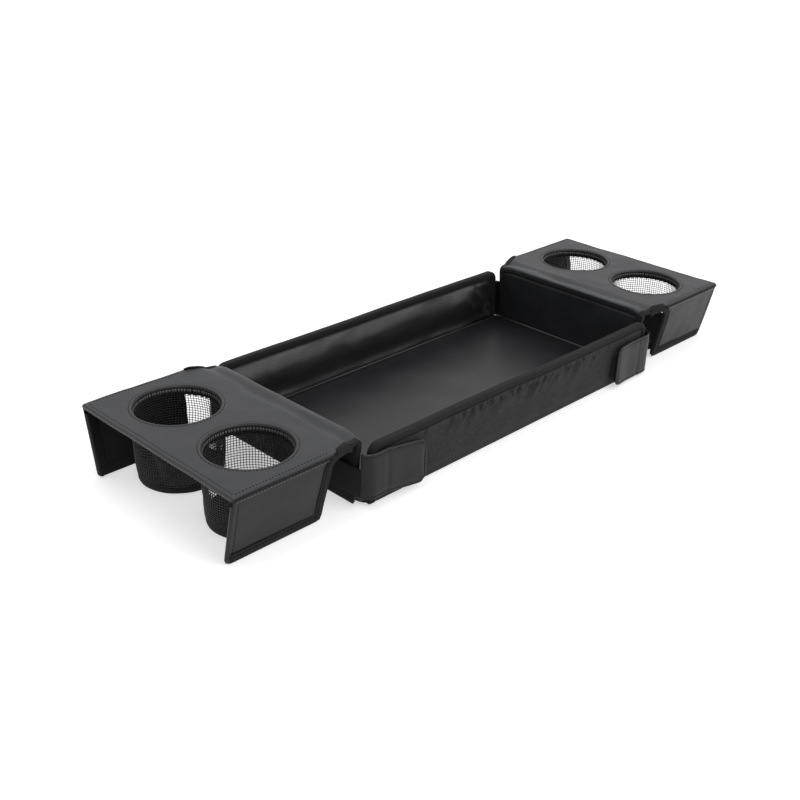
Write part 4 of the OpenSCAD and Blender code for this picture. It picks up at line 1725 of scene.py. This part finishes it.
def inner_wrinkles(u, v, side):
    """Wrinkles of the inner leather, into the tray: crumpled near one end of each wall."""
    low = ease((v + 1) / 8) * ease(below_tape(v) / 5) * ease(u_to_end(u) / 8)
    dents = 1.5 * drift(u, v * 1.5, 12 + side, 40) + 0.5 * drift(u, v, 15 + side, 15)
    crumpled = ease((u * side - crumple_start) / crumple_length)
    dents += 3.4 * crumpled * drift(u * 1.2 + v * 0.5, v, 21 + side, 17)
    return dents * low + inner_swell(u, v, side)


print("the leather swells by", round(inner_swell(0, 45, 1), 1), "mm under its binding")

# %% [markdown]
# The pad starts as two flat faces. A cloth simulation with a light pressure blows it up while the part
# under the binding is held, and the result is capped, so that it can't grow past its place. It takes twenty
# steps.


# %% Sewing and filling a pad
pad_pressure, pad_steps, pad_cap = 4.0, 20, 1.6


def boundary(faces):
    """The edges that only one face has."""
    seen = {}
    for face in faces:
        for a, b in zip(face, face[1:] + face[:1]):
            seen[(a, b)] = seen.get((a, b), 0) + 1
    return [(a, b) for (a, b) in seen if (b, a) not in seen]


def fill_pad(made, fixed):
    """How far each point moves while a cloth simulation blows the pad up, with its sewn edge held."""
    start = [v.co.copy() for v in made.data.vertices]
    group = made.vertex_groups.new(name="sewn")
    group.add(fixed, 1.0, "REPLACE")
    cloth = made.modifiers.new("cloth", "CLOTH")
    cloth.settings.use_pressure = True
    cloth.settings.uniform_pressure_force = pad_pressure
    cloth.settings.vertex_group_mass = "sewn"
    cloth.settings.effector_weights.gravity = 0
    cloth.settings.quality = 4
    cloth.collision_settings.use_collision = False
    cloth.collision_settings.use_self_collision = False
    scene = bpy.context.scene
    for step in range(1, pad_steps + 1):
        scene.frame_set(step)
    ready = made.evaluated_get(bpy.context.evaluated_depsgraph_get())
    moved = [v.co - s for v, s in zip(ready.data.vertices, start)]
    made.modifiers.remove(cloth)
    made.vertex_groups.remove(group)
    scene.frame_set(1)
    return [m * min(1.0, pad_cap * MM / max(m.length, 1e-9)) for m in moved]


wall_step = 3.2
wall_us, wall_vs = spread(-233, 233, wall_step), spread(1, 63, 3.1)
wall_pattern = cut(wall_outline(), wall_us, wall_vs, edge_step=wall_step, borders=(1.6,))


def sew_pad(name, side):
    """Two faces of the wall's pattern, joined all round, and which of their points the tape will hold."""
    points, faces = wall_pattern
    depth = depth_inside(points, densify(wall_outline(), wall_step))
    count = len(points)
    start = []
    for n_sign in (-1, 1):
        for (u, v), d in zip(points, depth):
            n = wall_mid + n_sign * half_pad * (0.72 + 0.24 * ease(d / 3))
            start.append(mirrored(wall_spot(u, v, n), 1, side))
    outer = [[i + count for i in face] for face in faces]
    joins = [[b, a, a + count, b + count] for a, b in boundary(faces)]
    made = add_object(
        name + "_pad",
        start,
        faces + outer + joins,
        [finish["tray_leather"], finish["oxford_cloth"]],
        list(points) * 2,
        [min(1.0, 0.7 * dip(d - tape_width - 1, 3)) for d in depth] * 2,
    )
    for polygon in made.data.polygons[len(faces):]:
        polygon.material_index = 1
    face_out(made)
    return made, [i + k * count for i, d in enumerate(depth) if d < tape_width - 1 for k in (0, 1)]


print("wall pattern", len(wall_pattern[0]), "points")

# %% [markdown]
# After the filling the pad is divided once more, because the wrinkles are finer than the first mesh. Each
# point is then moved by the wrinkles of its own face. In the pits of the woven cover the pale tone is taken
# away as painted shade, so that they look deep.


# %% Wrinkling and binding a wall
wall_seam, wall_tape_width = 5.2, 7.0


def subdivide(made):
    smooth = made.modifiers.new("smooth", "SUBSURF")
    smooth.levels = smooth.render_levels = 1
    ready = made.evaluated_get(bpy.context.evaluated_depsgraph_get())
    finer = bpy.data.meshes.new_from_object(ready)
    made.modifiers.clear()
    made.data = finer


def wrinkle(made, side):
    mesh = made.data
    spots, faces_of = {}, {}
    for polygon in mesh.polygons:
        for loop in polygon.loop_indices:
            vertex = mesh.loops[loop].vertex_index
            spots[vertex] = mesh.uv_layers[0].data[loop].uv / MM
            faces_of.setdefault(vertex, set()).add(polygon.material_index)
    normal = mirrored(wall_out, 1, side)
    for vertex in mesh.vertices:
        u, v = spots[vertex.index]
        n = wall_sway(u, v, side)
        kinds = faces_of[vertex.index]
        if kinds == {1}:
            n += outer_wrinkles(u, v, side)
            under = below_tape(v)
            # Painted shade: the cover is made darker in its pits under the binding.
            dark = wall_pit(u, under, side) * (1 - ease((under - 4) / 7))
            dark *= ease((wall_half - 40 - abs(u)) / 30)
            mesh.attributes["rub"].data[vertex.index].value -= 1.6 * dark
        elif kinds == {0}:
            n -= inner_wrinkles(u, v, side)
        vertex.co += normal * n * MM


def make_wall_tape(name, side):
    r = wall_corner_r
    half = [(wall_half, v) for v in spread(-1.0, wall_top - r, 3.5)]
    half += arc(wall_half - r, wall_top - r, r, 0, 90, 7)[1:]
    line = half + [(u, wall_top) for u in spread(wall_half - r - 3, -wall_half + r + 3, 3.5)]
    line += [(-u, v) for u, v in half[::-1]]
    stations = []
    for k, (u, v) in enumerate(line):
        before, after = line[max(k - 1, 0)], line[min(k + 1, len(line) - 1)]
        along = Vector((after[0] - before[0], after[1] - before[1])).normalized()
        inward = Vector((-along.y, 0, 0)) + wall_up * along.x
        stations.append((wall_spot(u, v, wall_mid + wall_sway(u, v, side)), inward, wall_out))

    def section(k):
        grip = half_pad - tape_grip
        return folded_tape(grip, -grip, wall_tape_width, seed=k * 3.5 + 90 * side)

    tape = sweep(name + "_tape", stations, section, finish["edge_tape"], 1, side, rub=0.35)
    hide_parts(name + "_binding")
    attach(tape, name)
    inside = [(p, a, -o) for p, a, o in stations]
    seams = [tape_seam(stations, wall_seam, half_pad + tape_t + 0.1)]
    seams.append(tape_seam(inside, wall_seam, half_pad + tape_t - 0.15))
    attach(stitches(name + "_tape_stitches", seams, 1, side), name)


def make_wall(name, side):
    made, fixed = sew_pad(name, side)
    for vertex, shift in zip(made.data.vertices, fill_pad(made, fixed)):
        vertex.co += shift
    subdivide(made)
    wrinkle(made, side)
    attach(made, name)
    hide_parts(name + "_liner", name + "_cover", name + "_board")
    anchor = mirrored(wall_spot(0, wall_top / 2, wall_outer), 1, side) * MM
    mirrored(wall_out, 1, side)
    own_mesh(made)
    make_wall_tape(name, side)
    return len(made.data.vertices)


for side_name, side in SIDES.items():
    print(side_name, "wall pad with", make_wall(side_name + "_wall", side), "points")

# %% [markdown]
# ## The corner tabs
# At each corner a webbing strap is sewn to the back of the end panel and comes round to the long wall. A
# leather tab is stitched over it, and sticks to the wall with a patch of hook and loop. The tab peels off
# about its stitched fold.


# %% The paths of tabs and straps
wrap_x, wrap_y, wrap_r = 235.4, 117.6, 14.8
tab_corner_r, tab_seam = 11, 2.6
strap_in, strap_start, strap_stop = 0.8, 89.6, 222
tab_fold_x = pivot["right_back_tab_peel"].x
tab_low, tab_high = span("right_back_tab")[0][2] - 2.0, span("right_back_tab")[1][2] + 2.5
tab_free = span("right_back_tab")[0][0]
tab_t, strap_t = 2.4, 1.4
tab_track = Track(
    [(wrap_x + wrap_r, wrap_y - 5)]
    + arc(wrap_x, wrap_y, wrap_r, 0, 90, 13)
    + [(tab_fold_x, wrap_y + wrap_r), (tab_free, wrap_y + wrap_r)]
)
s_fold = tab_track.length - (tab_fold_x - tab_free)
tab_length = tab_track.length - 6.0
strap_r = wrap_r - strap_in
strap_bend = arc(wrap_x, wrap_y, strap_r, 0, 90, 12)
strap_track = Track([(wrap_x + strap_r, strap_start)] + strap_bend + [(strap_stop, wrap_y + strap_r)])
tab_tilts = {"left_front": -0.14, "left_back": 0.015, "right_front": 0.02, "right_back": -0.01}
tab_rises = {"left_front": 8.0, "left_back": 0.0, "right_front": -1.0, "right_back": -4.0}
tab_lifts = {"left_front": 1.2, "left_back": 0.4, "right_front": 3.4, "right_back": 0.8}
tab_starts = {"left_front": 11.0, "left_back": 6.0, "right_front": 6.0, "right_back": 1.0}
print("a tab is", round(tab_length, 1), "mm long, a strap", round(strap_track.length, 1))

# %% [markdown]
# The four tabs aren't stuck down alike. In the photograph the left front one slopes and stands off at its
# end, so each tab has its own tilt, rise, lift and start. A groove follows its edge, where the stitching is
# sunk.


# %% Places and patterns of tabs and straps
def on_tab(name, end, side):
    def place(along, z):
        s = along + tab_starts[name]
        spot, out = tab_track.at(s), tab_track.out(s)
        past = max(0.0, s - s_fold)
        h = -0.9 * dip(s - s_fold, 1.5) + 0.3 * drift(s, z, 40 + 7 * end + side, 18)
        h += tab_lifts[name] * ease(past / 50) ** 2 * (1.0 if side < 0 else 0.7)
        edge = min(z - tab_low, tab_high - z, tab_length - along)
        h -= 0.6 * dip(edge - tab_seam, 0.8)
        spot = spot - out * h
        return Vector((spot.x, spot.y, z + tab_rises[name] + tab_tilts[name] * past))

    return place


def tab_end(inset, steps):
    """The round end of a tab, from its lower corner to its upper one, an inset inside the cut edge."""
    x, r = tab_length - tab_corner_r, tab_corner_r - inset
    low = arc(x, tab_low + tab_corner_r, r, -90, 0, steps)
    return low + arc(x, tab_high - tab_corner_r, r, 0, 90, steps)


tab_pattern = cut(
    [(0, tab_low)] + tab_end(0, 7) + [(0, tab_high)],
    spread(1.5, tab_length - 1.5, 2.6),
    spread(tab_low + 1.5, tab_high - 1.5, 2.6),
    edge_step=2.2,
    borders=(0.9, 1.9, 2.6, 3.3),
)
strap_low, strap_high = 14.0, 46.0
strap_pattern = cut(
    [(0, strap_low), (strap_track.length, strap_low), (strap_track.length, strap_high), (0, strap_high)],
    spread(2, strap_track.length - 2, 2.5),
    spread(strap_low + 2, strap_high - 2, 4),
)
print("tab and strap patterns:", len(tab_pattern[0]), "and", len(strap_pattern[0]), "points")


# %% Sewing tabs and straps
# The cut edges are paler: wear, and a painted highlight where light catches the edge.
def tab_edge_wear_and_highlight(s, z):
    return dip(min(z - tab_low, tab_high - z, tab_length - s), 1.4)


def make_tab(name, end, side):
    place = on_tab(name, end, side)
    skin = sew(name + "_tab_leather", tab_pattern, place, finish["tab_leather"], end, side, rub=tab_edge_wear_and_highlight)
    thicken(skin, tab_t)
    declare(skin, tab_pattern, [name + "_tab"])
    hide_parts(name + "_tab")
    rows = spread(2, tab_length - tab_corner_r, 3)
    edge = [(s, tab_low + tab_seam) for s in rows] + tab_end(tab_seam, 6)
    edge += [(s, tab_high - tab_seam) for s in rows[::-1]]
    fold = [(s_fold - tab_starts[name], z) for z in spread(tab_low + 3, tab_high - 3, 3)]
    lines = [seam_line(place, spots) for spots in (edge, fold)]
    seam = stitches(name + "_tab_stitches", lines, end, side)
    for made in (skin, seam):
        start, stop = (Vector((x * end, 0, 0)) * MM for x in (tab_fold_x + 3, tab_fold_x - 4))
        name + "_corner_tab"
        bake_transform(made)


def make_strap(name, end, side):
    def place(s, z):
        spot = strap_track.at(s) - strap_track.out(s) * 0.3 * drift(s, z, 60 + 5 * end + side, 20)
        return Vector((spot.x, spot.y, z))

    strap = sew(name + "_strap", strap_pattern, place, finish["strap_webbing"], end, side)
    thicken(strap, strap_t)
    declare(strap, strap_pattern, [END_NAMES[end] + "_corner_straps"])
    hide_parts(END_NAMES[end] + "_corner_straps")
    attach(strap, END_NAMES[end] + "_end")


# %% [markdown]
# The patches are small squares of hook tape behind the tabs and of loop tape on the walls, with rounded
# corners.


# %% Patches
patch_corner_r, patch_edge, patch_t = 3.0, 0.7, 1.1
patch_step = 3


def patch(name, low, high, spot, direction, end, side, inward):
    """A square of pile with a pressed edge. spot(u, v) says where its points lie."""
    r = patch_corner_r
    (u0, v0), (u1, v1) = low, high
    outline = arc(u1 - r, v0 + r, r, -90, 0, 3) + arc(u1 - r, v1 - r, r, 0, 90, 3)
    outline += arc(u0 + r, v1 - r, r, 90, 180, 3) + arc(u0 + r, v0 + r, r, 180, 270, 3)
    us, vs = spread(u0 + 2, u1 - 2, patch_step), spread(v0 + 2, v1 - 2, patch_step)
    pattern = cut(outline, us, vs, edge_step=patch_step, borders=(patch_edge,))
    depths = dict(zip(pattern[0], depth_inside(pattern[0], densify(outline, patch_step))))

    def place(u, v):
        pressed = -0.5 * (1 - ease(depths[(u, v)] / patch_edge))
        return spot(u, v) + direction * (pressed + 0.12 * drift(u, v, end + side, 3))

    made = sew(name, pattern, place, finish["hook_and_loop"], end, side, inward=inward)
    thicken(made, patch_t)
    declare(made, pattern)
    return made


def make_patches(name, end, side):
    lo, hi = span("right_back_hook_patch")

    def behind_tab(x, z):
        return Vector((x, lo[1], z))

    def on_wall(u, v):
        return wall_spot(u, v, wall_outer + tape_t)

    low, high = (lo[0], lo[2]), (hi[0], hi[2])
    hook = patch(name + "_hooks", low, high, behind_tab, Vector((0, -1, 0)), end, side, False)
    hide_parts(name + "_hook_patch")
    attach(hook, name + "_corner_tab")
    side_name = name.split("_")[1]
    loop_low = lo[2] - wall_pivot.z
    low, high = (lo[0], loop_low), (hi[0], loop_low + hi[2] - lo[2])
    loop = patch(name + "_loops", low, high, on_wall, wall_out, end, side, True)
    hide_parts(side_name + "_wall_loop_patches")
    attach(loop, side_name + "_wall")


for name, (end, side) in CORNERS.items():
    for make_part in (make_tab, make_strap, make_patches):
        make_part(name, end, side)

# %% [markdown]
# ## Floor, base and backs
# The floor is one sheet of leather over a board. It isn't quite flat: broad soft waves run across it, and
# they are what shows in the light. A piped welt runs round it: a thin sausage of leather that the walls
# fold on.


# %% Floor leather and welt
finish["floor_leather"] = leather("floor_leather", (0.009, 0.009, 0.0105), 1.3, 0.02, 0.36, specular=0.34)
finish["piping"] = leather("piping", (0.012, 0.012, 0.0125), grain=0.8, depth=0.04, roughness=0.4)
floor_t, welt_r, welt_corner_r = 1.0, 1.5, 5


def on_floor(u, v):
    inside = ease((238 - abs(u)) / 14) * ease((113 - abs(v)) / 14)
    wave = 0.55 * drift(u * 0.55 + v * 0.5, v * 0.25, 70, 42) + 0.35 * drift(u, v, 74, 60)
    return Vector((u, v, floor_top + (0.35 + wave) * inside))


def floor_rub(u, v):
    return 0.25 * ease(0.5 + drift(u, v, 80, 50))


def make_tray_floor():
    half_x, half_y = span("floor_liner")[1][:2]
    pattern = cut(rectangle(half_x, half_y, 4), spread(-233, 233, 6), spread(-108, 108, 6), edge_step=6)
    skin = sew("floor_leather", pattern, on_floor, finish["floor_leather"], rub=floor_rub)
    thicken(skin, floor_t)
    declare(skin, pattern, ["floor_board"])
    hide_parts("floor_liner")
    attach(skin, "tray_base")


def make_welt():
    stations = []
    loop = densify(rectangle(span("floor_welt")[1][0] - welt_r, wall_pivot.y, welt_corner_r, 6), 4)
    for k, (px, py) in enumerate(loop):
        bx, by = loop[(k + 1) % len(loop)]
        ax, ay = loop[k - 1]
        along = Vector((bx - ax, by - ay, 0)).normalized()
        stations.append((Vector((px, py, wall_pivot.z)), Vector((along.y, -along.x, 0)), Vector((0, 0, 1))))
    turns = [2 * math.pi * i / 12 for i in range(12)]
    ring = [(welt_r * math.cos(a), welt_r * math.sin(a)) for a in turns]
    welt = sweep("piped_welt", stations, lambda k: ring, finish["piping"], closed=True, rub=0.6)
    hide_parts("floor_welt")
    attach(welt, "tray_base")
    return len(stations)


make_tray_floor()
print("the welt has", make_welt(), "stations")

# %% [markdown]
# The underside is woven cloth, and the backs of the end panels and the undersides of the saddles are dark
# lining. None of them shows in the photograph. The base cover is set back and rounded at the front, where
# it would stick out. At the back it reaches a few millimetres past the walls, as painted shade: its dark
# cloth covers the floor in the back corners, where the shadow falls.


# %% Base cover
base_t, base_corner_r = 1.2, 16
base_in_x, base_in_y, base_shade_reach_x, base_shade_reach_y = 2, 3, 3.5, 2.5


def make_base_cover():
    half_x, half_y, high = span("base_cover")[1]
    r, x, y = base_corner_r, half_x - base_in_x, base_in_y - half_y
    front = arc(r - x, y + r, r, 180, 270, 5) + arc(x - r, y + r, r, 270, 360, 5)
    # Painted shade: the back edge reaches past the walls, so this dark cloth covers the floor in the back corners.
    back = [(way * (half_x + base_shade_reach_x), half_y + base_shade_reach_y) for way in (1, -1)]
    pattern = cut(front + back, spread(-236, 236, 8), spread(-118, 118, 8), edge_step=6)
    base = sew("base_cloth", pattern, lambda u, v: Vector((u, v, high)), finish["oxford_cloth"])
    thicken(base, base_t)
    declare(base, pattern, ["floor_board"])
    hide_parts("base_cover")
    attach(base, "tray_base")


make_base_cover()


# %% Backs of the end panels and linings of the saddles
back_t, saddle_lining_t = 1.0, 0.9


def make_end_back(name, end):
    lo, hi = span("right_end_cover")
    low, high = lo[2], hi[2]
    top_half, top = neck_half - 0.5, high - 0.2
    outline = [(-foot_half, low), (foot_half, low), (top_half, top), (-top_half, top)]
    pattern = cut(outline, spread(-105, 105, 7), spread(low + 3, high - 4, 6), edge_step=5)

    def place(y, z):
        return Vector((hi[0] + 0.25 * drift(end * y, z, 90, 30), y, z))

    back = sew(name + "_end_back", pattern, place, finish["dark_lining"], end)
    thicken(back, back_t)
    declare(back, pattern, [name + "_end_board"])
    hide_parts(name + "_end_cover")
    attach(back, name + "_end")


def make_saddle_lining(name, end):
    lo, hi = span("right_saddle_lining")
    x0, x1, z = lo[0] + 3.2, hi[0] - 0.5, lo[2]
    wide, narrow = saddle_half - 1.8, neck_half - 2
    outline = [(x0, -narrow), (slot_out, -wide), (x1, -wide), (x1, wide), (slot_out, wide), (x0, narrow)]
    rounds = [(cup_x, s * cup_y, [45.6, 47.5, 50.0]) for s in (-1, 1)]
    xs, ys = spread(x0 + 3, x1 - 3, 5.5), spread(-wide + 3, wide - 3, 5.5)
    pattern = cut(outline, xs, ys, rounds, edge_step=5)

    def place(x, y):
        return Vector((x, y, z + 0.1 - corner_droop(x, y) * 1.02 + 0.25 * drift(end * x, y, 95, 25)))

    lining = sew(name + "_saddle_inside", pattern, place, finish["dark_lining"], end, inward=True)
    thicken(lining, saddle_lining_t)
    declare(lining, pattern, [name + "_saddle_board"])
    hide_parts(name + "_saddle_lining")
    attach(lining, name + "_saddle")


for end_name, end in ENDS.items():
    make_end_back(end_name, end)
    make_saddle_lining(end_name, end)

# %% [markdown]
# ## Light and floor
# The tray stands on a pale floor in a plain light: an even white world, a very wide sun from above, and one
# from the right of the camera, as a large window would be. The floor glows a little, but only to the rays
# that the camera and the shiny surfaces send out, so it looks white and takes nothing from the light on the
# object. Its own colour is a pale grey, which keeps the shadow close round the feet of the cups.


# %% Floor, world and suns
world_light = 0.45
floor_size, floor_grey, floor_glow = 9.0, 0.68, 0.56


def shown_rays(tree):
    """1 for a ray from the camera, or one that a shiny or clear surface passes on, and 0 for others."""
    rays = Wire(tree, tree.nodes.new("ShaderNodeLightPath").outputs["Is Camera Ray"])
    return (rays + rays.part("Is Glossy Ray") + rays.part("Is Transmission Ray")).at_most(1.0)


def make_floor():
    corners = [(x * floor_size, y * floor_size, 0) for x, y in ((-1, -1), (1, -1), (1, 1), (-1, 1))]
    mesh = bpy.data.meshes.new("floor")
    mesh.from_pydata(corners, [], [(0, 1, 2, 3)])
    ground = bpy.data.objects.new("floor", mesh)
    bpy.context.scene.collection.objects.link(ground)
    ground.location.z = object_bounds()[0].z - 0.0002
    material, shader, where = start_material("pale_floor", roughness=0.9, specular=0.0)
    grey = [floor_grey] * 3
    feed(shader, "Base Color", tint(clouds(where, 400), grey, [floor_grey + 0.01] * 3))
    feed(shader, "Emission Color", tint(shown_rays(material.node_tree), (0, 0, 0), [floor_glow] * 3))
    shader.inputs["Emission Strength"].default_value = 1.0
    mesh.materials.append(material)


def light_world():
    world = bpy.data.worlds.new("studio")
    bpy.context.scene.world = world
    world.use_nodes = True
    background = world.node_tree.nodes["Background"]
    background.inputs["Color"].default_value = (1, 1, 1, 1)
    strength = world_light + (1.0 - world_light) * shown_rays(world.node_tree)
    feed(background, "Strength", strength)


def add_sun(name, direction, strength, spread_deg):
    sun = bpy.data.lights.new(name, "SUN")
    sun.energy = strength
    sun.angle = math.radians(spread_deg)
    lamp = bpy.data.objects.new(name, sun)
    lamp.rotation_mode = "QUATERNION"
    lamp.rotation_quaternion = Vector(direction).to_track_quat("Z", "Y")
    bpy.context.scene.collection.objects.link(lamp)


make_floor()
light_world()
add_sun("sky", (0.1, 0.25, 1.0), strength=1.1, spread_deg=70)
add_sun("window", (0.35, -1.0, 0.9), strength=1.2, spread_deg=50)
bpy.context.scene.view_settings.view_transform = "Standard"
print("world light", world_light, "and", len(bpy.data.lights), "suns")
